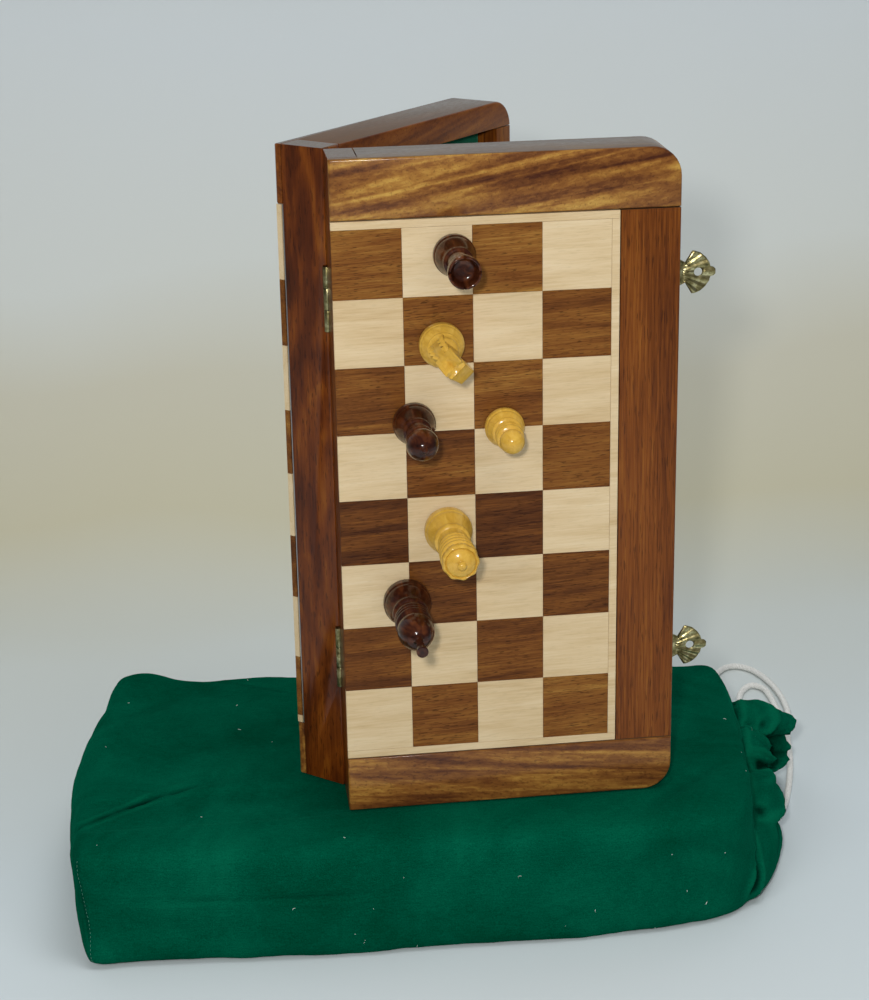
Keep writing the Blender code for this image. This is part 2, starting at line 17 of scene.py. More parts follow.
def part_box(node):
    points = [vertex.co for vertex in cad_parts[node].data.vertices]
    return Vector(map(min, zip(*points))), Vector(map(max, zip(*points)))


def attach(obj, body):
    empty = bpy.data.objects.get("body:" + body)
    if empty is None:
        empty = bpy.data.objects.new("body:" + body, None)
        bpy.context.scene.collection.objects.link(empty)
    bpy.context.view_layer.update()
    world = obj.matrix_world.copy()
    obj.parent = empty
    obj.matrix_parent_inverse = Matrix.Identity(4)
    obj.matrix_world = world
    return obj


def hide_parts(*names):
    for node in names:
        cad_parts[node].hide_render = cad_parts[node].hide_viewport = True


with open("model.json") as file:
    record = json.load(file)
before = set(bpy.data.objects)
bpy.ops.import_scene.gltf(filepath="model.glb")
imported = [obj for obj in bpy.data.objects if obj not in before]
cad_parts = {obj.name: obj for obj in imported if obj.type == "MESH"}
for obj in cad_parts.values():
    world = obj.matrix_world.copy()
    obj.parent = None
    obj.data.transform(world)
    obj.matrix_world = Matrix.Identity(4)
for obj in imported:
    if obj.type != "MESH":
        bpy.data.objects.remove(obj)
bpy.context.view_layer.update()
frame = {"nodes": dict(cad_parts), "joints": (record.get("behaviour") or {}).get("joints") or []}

MM = 0.001
NODES = frame["nodes"]
JOINTS = {joint["name"]: joint for joint in frame["joints"]}
HINGE = Vector(JOINTS["board_fold"]["pos_m"])
OPEN_ANGLE = math.radians(-JOINTS["board_fold"]["range_deg"][0])

# The box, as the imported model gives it
FACE_LOW, FACE_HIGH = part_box("front_top_rail")
SQUARE = 25.4 * MM
LENGTH = FACE_HIGH.z - HINGE.z
WIDTH = FACE_HIGH.x - HINGE.x
THICK = HINGE.y - FACE_LOW.y
SEAM = HINGE.y - FACE_HIGH.y
CORNER_RADIUS = 11.0 * MM
PANEL_LOW, PANEL_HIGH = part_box("front_board_panel")

# The tones of the two rosewoods, dark to pale
GOLD_STOPS = [(0.30, (0.060, 0.017, 0.007)), (0.42, (0.130, 0.044, 0.011)), (0.52, (0.215, 0.084, 0.018)),
              (0.62, (0.335, 0.160, 0.032)), (0.74, (0.490, 0.285, 0.062))]
RED_STOPS = [(0.28, (0.062, 0.014, 0.003)), (0.42, (0.120, 0.031, 0.004)), (0.54, (0.172, 0.048, 0.006)),
             (0.66, (0.230, 0.074, 0.009)), (0.80, (0.310, 0.118, 0.018))]

FRONT_PLACE = Matrix.Translation(HINGE)
REAR_PLACE = Matrix.Translation(HINGE) @ Matrix.Rotation(OPEN_ANGLE, 4, "Z")
HALVES = {
    "front": {"side": -1, "place": FRONT_PLACE, "turn": 0.0, "odd": 0, "colour": "black",
              "top_stops": GOLD_STOPS},
    "rear": {"side": 1, "place": REAR_PLACE, "turn": OPEN_ANGLE, "odd": 1, "colour": "white",
             "top_stops": RED_STOPS},
}


# ---------------------------------------------------------------- camera, stage, lights

CAMERA_PLACE = HINGE + Vector((-57.0, -782.0, 395.6)) * MM
CAMERA_FORWARD = Vector((0.113937, 0.936178, -0.332549))
CAMERA_RIGHT = Vector((0.991746, -0.126991, -0.017712))
CAMERA_LENS = 78.8


def add_camera():
    data = bpy.data.cameras.new("camera")
    data.lens = CAMERA_LENS
    data.sensor_width = 36
    data.clip_start = 0.01
    camera = bpy.data.objects.new("camera", data)
    bpy.context.scene.collection.objects.link(camera)
    up = CAMERA_RIGHT.cross(CAMERA_FORWARD)
    turn = Matrix((CAMERA_RIGHT, up, -CAMERA_FORWARD)).transposed().to_4x4()
    camera.matrix_world = Matrix.Translation(CAMERA_PLACE) @ turn
    bpy.context.scene.camera = camera
    bpy.context.scene.view_settings.view_transform = "Standard"


# The paper's tint by its distance back and up the sweep, in metres
PAPER_STOPS = [(0.00, (0.62, 0.685, 0.71)), (0.22, (0.63, 0.665, 0.635)), (0.40, (0.61, 0.575, 0.425)),
               (0.56, (0.62, 0.60, 0.49)), (0.68, (0.68, 0.71, 0.68)), (0.90, (0.69, 0.74, 0.765))]


def add_stage():
    """A pale sweep: a floor that curves up into a wall a little way behind the bag."""
    wall_at, wall_top, radius, reach = 0.62, 2.2, 0.35, 7.0
    outline = [(-reach, 0.0), (wall_at - radius, 0.0)]
    arc_steps = 16
    for step in range(1, arc_steps + 1):
        angle = math.pi / 2 * step / arc_steps
        outline.append((wall_at - radius + radius * math.sin(angle), radius - radius * math.cos(angle)))
    outline.append((wall_at, wall_top))
    work = bmesh.new()
    columns = [[work.verts.new((x, y, z)) for y, z in outline] for x in (-reach, reach)]
    for index in range(len(outline) - 1):
        work.faces.new((columns[0][index], columns[1][index], columns[1][index + 1], columns[0][index + 1]))
    mesh = bpy.data.meshes.new("sweep")
    work.to_mesh(mesh)
    work.free()
    mesh.shade_smooth()
    sweep = bpy.data.objects.new("sweep", mesh)
    bpy.context.scene.collection.objects.link(sweep)
    paper = Graph("sweep_paper", (0.80, 0.84, 0.82), 0.9, Specular_IOR_Level=0.1)
    back, up = paper.parts(paper.object_coords())[1:]
    cloud = paper.noise(paper.object_coords(), 2.5, 2)
    along = paper.math("ADD", paper.math("ADD", back, up), paper.grey(cloud, 0.3, 0.7, -0.04, 0.04))
    paper.to_base(paper.ramp(along, PAPER_STOPS))
    paper.clear_from_behind()
    mesh.materials.append(paper.material)


FLASH = CAMERA_PLACE - CAMERA_RIGHT * 0.045 + CAMERA_RIGHT.cross(CAMERA_FORWARD) * 0.045
LIGHTS = [
    # name, place, aim, size, watts, colour
    ("key", FLASH, (0.0, 0.0, 0.14), 0.045, 3.6, (1.0, 0.98, 0.95)),
    ("left", (-0.85, -0.95, 0.85), (0.0, 0.0, 0.14), 0.6, 2.8, (1.0, 0.99, 0.97)),
    ("fill", (0.95, -1.15, 0.70), (0.0, 0.0, 0.12), 0.9, 2.2, (0.97, 0.98, 1.0)),
    ("top", (-0.1, 0.0, 1.7), (0.0, 0.1, 0.0), 1.4, 3.4, (0.97, 0.99, 1.0)),
    ("backdrop", (0.35, -0.3, 1.5), (0.30, 0.62, 0.45), 0.9, 6.5, (0.98, 0.99, 1.0)),
]


def add_lights():
    for name, place, aim, size, watts, colour in LIGHTS:
        data = bpy.data.lights.new(name, "AREA")
        data.shape = "DISK"
        data.size = size
        data.energy = watts
        data.color = colour
        lamp = bpy.data.objects.new(name, data)
        lamp.location = place
        lamp.visible_glossy = name == "key"
        lamp.rotation_euler = (Vector(aim) - Vector(place)).to_track_quat("-Z", "Y").to_euler()
        bpy.context.scene.collection.objects.link(lamp)
    world = bpy.data.worlds.new("studio")
    world.use_nodes = True
    sky = world.node_tree.nodes["Background"]
    sky.inputs["Color"].default_value = (0.86, 0.89, 0.92, 1)
    sky.inputs["Strength"].default_value = 0.16
    bpy.context.scene.world = world


# ---------------------------------------------------------------- material building

class Graph:
    """A Principled material and short calls for the nodes that feed it."""

    def __init__(self, name, colour, roughness, metallic=0.0, **sockets):
        self.material = bpy.data.materials.new(name)
        self.material.use_nodes = True
        self.tree = self.material.node_tree
        self.shader = self.tree.nodes["Principled BSDF"]
        self.shader.inputs["Base Color"].default_value = (*colour, 1)
        self.shader.inputs["Roughness"].default_value = roughness
        self.shader.inputs["Metallic"].default_value = metallic
        for socket, value in sockets.items():
            self.shader.inputs[socket.replace("_", " ")].default_value = value

    def add(self, kind, **settings):
        made = self.tree.nodes.new(kind)
        for name, value in settings.items():
            setattr(made, name, value)
        return made

    def feed(self, socket, value):
        """Links an output to a socket, or sets a plain value on it."""
        if isinstance(value, bpy.types.NodeSocket):
            self.tree.links.new(value, socket)
        else:
            socket.default_value = value

    def object_coords(self, scale=(1, 1, 1), turn=0.0):
        """Object coordinates, turned about Z by -turn and then scaled."""
        coords = self.add("ShaderNodeTexCoord").outputs["Object"]
        if turn:
            coords = self.mapped(coords, (1, 1, 1), (0, 0, -turn))
        return self.mapped(coords, scale)

    def mapped(self, vector, scale, rotation=(0, 0, 0)):
        mapping = self.add("ShaderNodeMapping")
        mapping.inputs["Scale"].default_value = scale
        mapping.inputs["Rotation"].default_value = rotation
        self.feed(mapping.inputs["Vector"], vector)
        return mapping.outputs["Vector"]

    def attribute(self, name, output="Vector"):
        return self.add("ShaderNodeAttribute", attribute_name=name).outputs[output]

    def vector_add(self, first, second):
        made = self.add("ShaderNodeVectorMath", operation="ADD")
        self.feed(made.inputs[0], first)
        self.feed(made.inputs[1], second)
        return made.outputs["Vector"]

    def parts(self, vector):
        """The X, Y and Z of a vector."""
        made = self.add("ShaderNodeSeparateXYZ")
        self.feed(made.inputs[0], vector)
        return tuple(made.outputs)

    def noise(self, vector, scale, detail=3, roughness=0.55, distortion=0.0):
        made = self.add("ShaderNodeTexNoise")
        self.feed(made.inputs["Vector"], vector)
        made.inputs["Scale"].default_value = scale
        made.inputs["Detail"].default_value = detail
        made.inputs["Roughness"].default_value = roughness
        made.inputs["Distortion"].default_value = distortion
        return made.outputs["Fac"]

    def ramp(self, factor, stops):
        made = self.add("ShaderNodeValToRGB")
        self.feed(made.inputs["Fac"], factor)
        elements = made.color_ramp.elements
        while len(elements) < len(stops):
            elements.new(0.5)
        for element, (place, colour) in zip(elements, stops):
            element.position = place
            element.color = (*colour, 1) if len(colour) == 3 else colour
        return made.outputs["Color"]

    def grey(self, factor, low, high, dark=0.0, light=1.0):
        """A factor stretched between two of its values to a grey range."""
        made = self.add("ShaderNodeMapRange")
        made.clamp = low != 0.0
        self.feed(made.inputs["Value"], factor)
        for name, value in (("From Min", low), ("From Max", high), ("To Min", dark), ("To Max", light)):
            made.inputs[name].default_value = value
        return made.outputs["Result"]

    def math(self, operation, first, second=0.0):
        made = self.add("ShaderNodeMath", operation=operation)
        self.feed(made.inputs[0], first)
        self.feed(made.inputs[1], second)
        return made.outputs["Value"]

    def mix(self, factor, first, second, blend="MIX"):
        made = self.add("ShaderNodeMix", data_type="RGBA", blend_type=blend)
        for socket, value in ((0, factor), (6, first), (7, second)):
            if isinstance(value, tuple) and len(value) == 3:
                value = (*value, 1)
            self.feed(made.inputs[socket], value)
        return made.outputs[2]

    def bump(self, height, strength, distance):
        made = self.add("ShaderNodeBump")
        self.feed(made.inputs["Height"], height)
        made.inputs["Strength"].default_value = strength
        made.inputs["Distance"].default_value = distance
        self.feed(self.shader.inputs["Normal"], made.outputs["Normal"])

    def clear_from_behind(self):
        """Lets a ray through that meets the back of a face, so a backdrop hides nothing behind it."""
        back = self.add("ShaderNodeNewGeometry").outputs["Backfacing"]
        mixed = self.add("ShaderNodeMixShader")
        self.feed(mixed.inputs[0], back)
        self.feed(mixed.inputs[1], self.shader.outputs["BSDF"])
        self.feed(mixed.inputs[2], self.add("ShaderNodeBsdfTransparent").outputs["BSDF"])
        self.feed(self.tree.nodes["Material Output"].inputs["Surface"], mixed.outputs["Shader"])

    def to_base(self, colour):
        self.feed(self.shader.inputs["Base Color"], colour)

    def to_roughness(self, value):
        self.feed(self.shader.inputs["Roughness"], value)


# ---------------------------------------------------------------- woods

SPINE_STOPS = [(0.28, (0.030, 0.007, 0.001)), (0.42, (0.078, 0.016, 0.002)),
               (0.54, (0.140, 0.033, 0.003)), (0.66, (0.220, 0.066, 0.006)), (0.80, (0.315, 0.118, 0.012))]
DARK_SQUARE_STOPS = [(0.20, (0.046, 0.014, 0.005)), (0.36, (0.092, 0.030, 0.008)),
                     (0.52, (0.162, 0.057, 0.012)), (0.66, (0.235, 0.098, 0.020)),
                     (0.82, (0.340, 0.175, 0.038))]
LIGHT_SQUARE_STOPS = [(0.22, (0.500, 0.345, 0.175)), (0.42, (0.600, 0.452, 0.262)),
                      (0.58, (0.655, 0.512, 0.318)), (0.80, (0.710, 0.585, 0.395))]
# Painted reflection: the dull grey-brown that stands in for the pale backdrop reflected in the rails' upward
# faces, and how much of it they take
RAIL_TOP_PAINTED_SHEEN = (0.108, 0.066, 0.038)
RAIL_TOP_SHEEN_SHARE = 0.86
AXES = {"X": (1, 0, 0), "Y": (0, 1, 0), "Z": (0, 0, 1)}


def stretch(axis, along, across):
    """A scale that runs slowly along one axis and quickly across it."""
    return tuple(along if on else across for on in AXES[axis])


def wood(name, stops, axis, turn=0.0, slope=0.0, figure=(9, 150), streak=(45, 1500), wave=1.2,
         swing=1.0, fibre=0.10, pore=0.5, gloss=(0.30, 0.46), coat=0.08, per_tile=False):
    """Lacquered wood: a slow figure, fine streaks along the grain, and open pores."""
    graph = Graph(name, stops[2][1], gloss[0], Coat_Weight=coat, Coat_Roughness=0.16,
                  Specular_IOR_Level=0.06)
    tilt = (0, slope, 0) if axis == "X" else (slope, 0, 0)

    def coords(along, across):
        vector = graph.mapped(graph.object_coords(turn=turn), (1, 1, 1), tilt)
        vector = graph.mapped(vector, stretch(axis, along, across))
        if per_tile:
            vector = graph.vector_add(vector, graph.attribute("tile"))
        return vector

    slow = graph.noise(coords(*figure), 1.0, 2, 0.5, wave)
    bands = graph.noise(coords(figure[0] * 2.2, figure[1] * 2.3), 1.0, 2, 0.5, wave * 0.6)
    fine = graph.noise(coords(*streak), 1.0, 2, 0.6, 0.3)
    pores = graph.noise(coords(streak[0] * 4, streak[1] * 1.5), 1.0, 1, 0.4)
    factor = graph.grey(slow, 0.0, 1.0, 0.5 - 0.5 * swing, 0.5 + 0.5 * swing)
    factor = graph.math("ADD", factor, graph.grey(bands, 0.3, 0.7, -0.10 * swing, 0.10 * swing))
    factor = graph.math("ADD", factor, graph.grey(fine, 0.3, 0.7, -fibre, fibre))
    if per_tile:
        factor = graph.math("ADD", factor, graph.attribute("shade", "Fac"))
    colour = graph.ramp(factor, stops)
    dark = graph.grey(pores, 0.60, 0.68, 0.0, pore)
    colour = graph.mix(dark, colour, tuple(channel * 0.45 for channel in stops[0][1]))
    # On the rails, the upward faces (the "top" attribute) are mixed toward a painted reflection of the
    # backdrop
    if not per_tile:
        colour = graph.mix(graph.attribute("top", "Fac"), colour, RAIL_TOP_PAINTED_SHEEN)
    graph.to_base(colour)
    graph.to_roughness(graph.grey(fine, 0.25, 0.75, gloss[0], gloss[1]))
    height = graph.math("SUBTRACT", fine, graph.grey(pores, 0.58, 0.72, 0.0, 1.2))
    graph.bump(height, 0.16, 0.00010)
    return graph.material


def boxwood():
    """Glossy yellow wood with a faint long grain."""
    graph = Graph("boxwood", (0.62, 0.37, 0.06), 0.40, Coat_Weight=0.70, Coat_Roughness=0.16,
                  Specular_IOR_Level=0.12)
    grain = graph.noise(graph.object_coords((420, 420, 34)), 1.0, 3, 0.55, 0.8)
    cloud = graph.noise(graph.object_coords(), 110, 2)
    factor = graph.math("ADD", grain, graph.grey(cloud, 0.3, 0.7, -0.06, 0.06))
    graph.to_base(graph.ramp(factor, [
        (0.20, (0.47, 0.255, 0.028)), (0.50, (0.60, 0.350, 0.048)), (0.80, (0.68, 0.43, 0.078))]))
    graph.bump(grain, 0.08, 0.0001)
    return graph.material


def lacquered_rosewood():
    """Dark red wood under a shiny lacquer."""
    graph = Graph("lacquered_rosewood", (0.040, 0.008, 0.004), 0.35, Coat_Weight=0.80, Coat_Roughness=0.07,
                  Coat_IOR=1.42, Specular_IOR_Level=0.05)
    grain = graph.noise(graph.object_coords((330, 330, 30)), 1.0, 2, 0.5, 0.6)
    graph.to_base(graph.ramp(grain, [
        (0.25, (0.010, 0.002, 0.001)), (0.50, (0.036, 0.008, 0.003)), (0.78, (0.110, 0.030, 0.008))]))
    graph.bump(grain, 0.06, 0.0001)
    return graph.material


# ---------------------------------------------------------------- metal and cloth

BRASS_STOPS = [(0.30, (0.10, 0.085, 0.035)), (0.48, (0.30, 0.255, 0.11)), (0.70, (0.66, 0.60, 0.34))]


def antique_brass(name, tone=1.0):
    graph = Graph(name, (0.42, 0.33, 0.15), 0.32, 1.0)
    patch = graph.noise(graph.object_coords(), 420, 4, 0.6)
    grain = graph.noise(graph.object_coords(), 2600, 2)
    stops = [(place, tuple(channel * tone for channel in colour)) for place, colour in BRASS_STOPS]
    graph.to_base(graph.ramp(patch, stops))
    graph.to_roughness(graph.grey(patch, 0.3, 0.7, 0.48, 0.22))
    graph.bump(grain, 0.25, 0.00008)
    return graph.material


def plain_steel():
    graph = Graph("sheet_steel", (0.50, 0.51, 0.52), 0.35, 1.0)
    grain = graph.noise(graph.object_coords((60, 60, 2400)), 1.0, 2)
    graph.to_roughness(graph.grey(grain, 0.3, 0.7, 0.28, 0.46))
    graph.bump(grain, 0.15, 0.00005)
    return graph.material


def velvet():
    """Dark green pile: a little sheen, rubbed paler patches, a fine nap, painted shade in the creases, the
    gathers' troughs and the mouth's hollow, and paler crests beside the creases.
    """
    graph = Graph("green_velvet", (0.0, 0.075, 0.040), 0.95, Sheen_Weight=0.10,
                  Sheen_Roughness=0.30, Sheen_Tint=(0.02, 0.50, 0.28, 1), Specular_IOR_Level=0.0)
    patch = graph.noise(graph.object_coords(), 20, 4, 0.6, 0.6)
    nap = graph.noise(graph.object_coords(), 2200, 2, 0.6)
    twill = graph.noise(graph.object_coords((260, 1500, 1500)), 1.0, 2)
    factor = graph.math("ADD", patch, graph.grey(nap, 0.3, 0.7, -0.15, 0.15))
    factor = graph.math("ADD", factor, graph.grey(twill, 0.3, 0.7, -0.06, 0.06))
    colour = graph.ramp(factor, [
        (0.26, (0.0, 0.044, 0.021)), (0.50, (0.0, 0.068, 0.036)), (0.76, (0.001, 0.098, 0.052))])
    # Painted shade: the "fold" attribute darkens the creases, the gathers' troughs and the mouth's hollow;
    # where it is negative, on crests beside creases and on the gathers, the pile is made paler
    fold = graph.attribute("fold", "Fac")
    colour = graph.mix(graph.grey(fold, 0.10, 1.0, 0.0, 0.85), colour, (0.0, 0.010, 0.006))
    graph.to_base(graph.mix(graph.grey(fold, -0.10, -0.6, 0.0, 0.5), colour, (0.002, 0.130, 0.066)))
    height = graph.math("ADD", nap, graph.grey(twill, 0.3, 0.7, 0.0, 0.5))
    graph.bump(height, 0.55, 0.00030)
    return graph.material


def flock():
    graph = Graph("green_flock", (0.005, 0.10, 0.06), 0.95, Sheen_Weight=0.4,
                  Sheen_Roughness=0.4, Sheen_Tint=(0.2, 0.6, 0.4, 1), Specular_IOR_Level=0.1)
    pile = graph.noise(graph.object_coords(), 3200, 2, 0.6)
    patch = graph.noise(graph.object_coords(), 45, 3)
    factor = graph.math("ADD", patch, graph.grey(pile, 0.3, 0.7, -0.15, 0.15))
    graph.to_base(graph.ramp(factor, [(0.3, (0.0, 0.040, 0.022)), (0.7, (0.004, 0.095, 0.052))]))
    graph.bump(pile, 0.6, 0.0002)
    return graph.material


def satin(name, dark, light):
    graph = Graph(name, light, 0.34, Sheen_Weight=0.3, Sheen_Roughness=0.3, Specular_IOR_Level=0.7)
    thread = graph.noise(graph.object_coords(), 2600, 3, 0.6)
    graph.to_base(graph.ramp(thread, [(0.3, dark), (0.7, light)]))
    graph.bump(thread, 0.35, 0.00012)
    return graph.material


def make_materials():
    made = {"steel": plain_steel(), "brass": antique_brass("antique_brass"),
            "hinge_brass": antique_brass("hinge_brass", 0.8), "boxwood": boxwood(),
            "black_man": lacquered_rosewood(), "velvet": velvet(), "flock": flock(),
            "cord": satin("satin_cord", (0.60, 0.59, 0.55), (0.93, 0.93, 0.90)),
            "thread": satin("pale_thread", (0.50, 0.56, 0.50), (0.80, 0.84, 0.78)),
            "seam_thread": satin("seam_thread", (0.02, 0.10, 0.07), (0.06, 0.24, 0.17)),
            "foot_felt": satin("foot_felt", (0.02, 0.05, 0.03), (0.04, 0.09, 0.05))}
    for name, half in HALVES.items():
        turn = half["turn"]
        made[name] = {
            "top_rail": wood(f"{name}_golden_rosewood", half["top_stops"], "X", turn, math.radians(10),
                             (8, 105), (330, 800), 1.6, 0.80, 0.06, 0.3, coat=0.45),
            "bottom_rail": wood(f"{name}_brown_rosewood", GOLD_STOPS, "X", turn, math.radians(-5),
                                (8, 115), (200, 900), 1.4, 0.66, 0.06, 0.3, coat=0.45),
            "outer_rail": wood(f"{name}_red_rosewood", RED_STOPS, "Z", turn, 0.0, (6, 60), (36, 1300),
                               0.8, 0.50, 0.13, 0.5, coat=0.30),
            "spine_rail": wood(f"{name}_dark_rosewood", SPINE_STOPS, "Z", turn, 0.0, (11, 36), (60, 900),
                               3.2, 0.62, 0.05, gloss=(0.28, 0.40), coat=0.45),
            "dark": wood(f"{name}_dark_squares", DARK_SQUARE_STOPS, "X", 0.0, math.radians(3), (13, 150),
                         (80, 2000), 0.6, 0.55, 0.10, 0.60, (0.34, 0.50), per_tile=True),
            "light": wood(f"{name}_light_squares", LIGHT_SQUARE_STOPS, "X", 0.0, math.radians(2), (15, 120),
                          (70, 1700), 0.8, 0.55, 0.08, 0.10, (0.36, 0.48), per_tile=True),
        }
    return made


# ---------------------------------------------------------------- mesh helpers

def finish_piece(name, mesh, materials, body, replaced=(), place=None):
    """Links a mesh as a piece that rides on a body and stands for some CAD nodes."""
    made = bpy.data.objects.new(name, mesh)
    bpy.context.scene.collection.objects.link(made)
    if place is not None:
        made.matrix_world = place
    if not mesh.materials:
        for material in materials:
            mesh.materials.append(material)
    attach(made, body)
    if replaced:
        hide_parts(*replaced)
    return made


def mesh_of(name, work, smooth_angle=None):
    mesh = bpy.data.meshes.new(name)
    work.to_mesh(mesh)
    work.free()
    if smooth_angle is not None:
        mesh.shade_smooth()
        mesh.set_sharp_from_angle(angle=math.radians(smooth_angle))
    return mesh


def catmull(before, start, end, after, t):
    return 0.5 * (2 * start + (end - before) * t + (2 * before - 5 * start + 4 * end - after) * t ** 2
                  + (3 * start - before - 3 * end + after) * t ** 3)


def smooth_line(points, steps):
    """A Catmull-Rom curve through points, a few steps for each stretch."""
    points = [Vector(point) for point in points]
    ends = [2 * points[0] - points[1]] + points + [2 * points[-1] - points[-2]]
    fine = []
    for index in range(len(points) - 1):
        fine += [catmull(*ends[index:index + 4], step / steps) for step in range(steps)]
    return fine + [points[-1]]


def bridge(work, rings, closed=True):
    """Quads between neighbouring rings of vertices."""
    for first, second in zip(rings, rings[1:]):
        count = len(first)
        for index in range(count if closed else count - 1):
            after = (index + 1) % count
            work.faces.new((first[index], first[after], second[after], second[index]))


def circle(work, radius, height, steps):
    """A ring of vertices round Z."""
    angles = [2 * math.pi * step / steps for step in range(steps)]
    return [work.verts.new((radius * math.cos(angle), radius * math.sin(angle), height)) for angle in angles]


def add_lathe(work, profile, steps, place=None, colours=None):
    """Adds a solid turned from (radius, height) in millimetres round Z."""
    rings = [circle(work, radius * MM, height * MM, 1 if radius < 1e-6 else steps)
             for radius, height in profile]
    for number, (first, second) in enumerate(zip(rings, rings[1:])):
        for index in range(steps):
            after = (index + 1) % steps
            corners = [first[index % len(first)], second[index % len(second)],
                       second[after % len(second)], first[after % len(first)]]
            face = work.faces.new(list(dict.fromkeys(corners)))
            if colours:
                face.material_index = colours(number)
    if place is not None:
        bmesh.ops.transform(work, matrix=place, verts=[vertex for ring in rings for vertex in ring])


def turned(name, profile, steps, smooth_angle=35, colours=None):
    """A mesh turned from (radius, height) points in millimetres, from the tip to the foot's middle."""
    work = bmesh.new()
    add_lathe(work, profile, steps, colours=colours)
    return mesh_of(name, work, smooth_angle)


# ---------------------------------------------------------------- frame of the box

ARRIS_ROUND = 0.8 * MM
JOINT_EASE = 0.12 * MM
ON_OUTLINE = 0.06 * MM


def outline_gap(across, height):
    """How far a point of the face is inside the half's outline."""
    right = WIDTH - across
    up = min(LENGTH - height, height)
    if right < CORNER_RADIUS and up < CORNER_RADIUS:
        return CORNER_RADIUS - math.hypot(CORNER_RADIUS - right, CORNER_RADIUS - up)
    return min(across - SEAM, right, up)


def on_rim(point, side):
    """Whether a vertex is on the outline, and whether on the face or the seam side."""
    depth = point.y * side
    on_outline = abs(outline_gap(point.x, point.z)) < ON_OUTLINE
    return on_outline, min(abs(depth - THICK), abs(depth - SEAM)) < ON_OUTLINE


def refined_rail(node, half, material):
    """A copy of a rail with its outer arrises rounded and its joints just eased."""
    inverse = half["place"].inverted()
    work = bmesh.new()
    work.from_mesh(NODES[node].data)
    bmesh.ops.remove_doubles(work, verts=work.verts, dist=1e-5)
    bmesh.ops.transform(work, matrix=inverse, verts=work.verts)
    bmesh.ops.dissolve_limit(work, angle_limit=math.radians(1.0), verts=work.verts, edges=work.edges)
    outer = []
    for edge in work.edges:
        if len(edge.link_faces) != 2 or edge.calc_face_angle(0) < math.radians(30):
            continue
        marks = [on_rim(vertex.co, half["side"]) for vertex in edge.verts]
        if all(on_outline and on_face for on_outline, on_face in marks):
            outer.append(edge)
    if outer:
        bmesh.ops.bevel(work, geom=outer, offset=ARRIS_ROUND, segments=3, profile=0.5, affect="EDGES",
                        clamp_overlap=True)
    sharp = [edge for edge in work.edges
             if len(edge.link_faces) == 2 and edge.calc_face_angle(0) > math.radians(50)]
    bmesh.ops.bevel(work, geom=sharp, offset=JOINT_EASE, segments=1, affect="EDGES", clamp_overlap=True)
    bmesh.ops.transform(work, matrix=half["place"], verts=work.verts)
    bmesh.ops.recalc_face_normals(work, faces=work.faces)
    # The "top" share marks the upward faces that get the painted reflection in the wood's colour
    layer = work.faces.layers.float.new("top")
    for face in work.faces:
        face[layer] = RAIL_TOP_SHEEN_SHARE if face.normal.z > 0.9 else 0.0
    mesh = mesh_of(f"{node}_wood", work, 28)
    body = f"{node.split('_')[0]}_half"
    finish_piece(f"{node}_wood", mesh, [material], body, (node,))


def add_rails(materials):
    for name, half in HALVES.items():
        for rail in ("top_rail", "bottom_rail", "outer_rail", "spine_rail"):
            refined_rail(f"{name}_{rail}", half, materials[name][rail])


# ---------------------------------------------------------------- inlaid playing face

TILE_EASE = 0.10 * MM
TILE_JOINT = 0.03 * MM
ROWS = 8
COLUMNS = 4


def add_tile(work, half, across, height, tone, draw, layers):
    """One inlaid square or strip, with its own piece of grain."""
    side = half["side"]
    back = (HINGE.y - PANEL_HIGH.y) * side
    face = THICK * side
    low_x, high_x = across[0] + TILE_JOINT, across[1] - TILE_JOINT
    low_z, high_z = height[0] + TILE_JOINT, height[1] - TILE_JOINT

    def ring(inset, depth):
        return [work.verts.new((x, depth, z)) for x, z in (
            (low_x + inset, low_z + inset), (high_x - inset, low_z + inset),
            (high_x - inset, high_z - inset), (low_x + inset, high_z - inset))]

    rings = [ring(0, back), ring(0, face - side * TILE_EASE), ring(TILE_EASE, face)]
    before = len(work.faces)
    bridge(work, rings)
    work.faces.new(rings[0])
    work.faces.new(rings[-1])
    work.faces.ensure_lookup_table()
    shift = Vector((draw.uniform(-40, 40), draw.uniform(-40, 40), draw.uniform(-40, 40)))
    shade = tone + draw.uniform(-0.06, 0.06)
    for face_made in work.faces[before:]:
        face_made[layers[1]] = shade
        face_made[layers[0]] = shift


def tile_mesh(name, half, tiles, draw):
    work = bmesh.new()
    layers = (work.faces.layers.float_vector.new("tile"), work.faces.layers.float.new("shade"))
    for across, height, tone in tiles:
        add_tile(work, half, across, height, tone, draw, layers)
    bmesh.ops.recalc_face_normals(work, faces=work.faces)
    return mesh_of(name, work)


# How much paler or darker than the middle the dark squares of each row are, from the top
ROW_TONES = (0.13, 0.04, 0.02, 0.03, -0.13, -0.06, 0.0, 0.04)


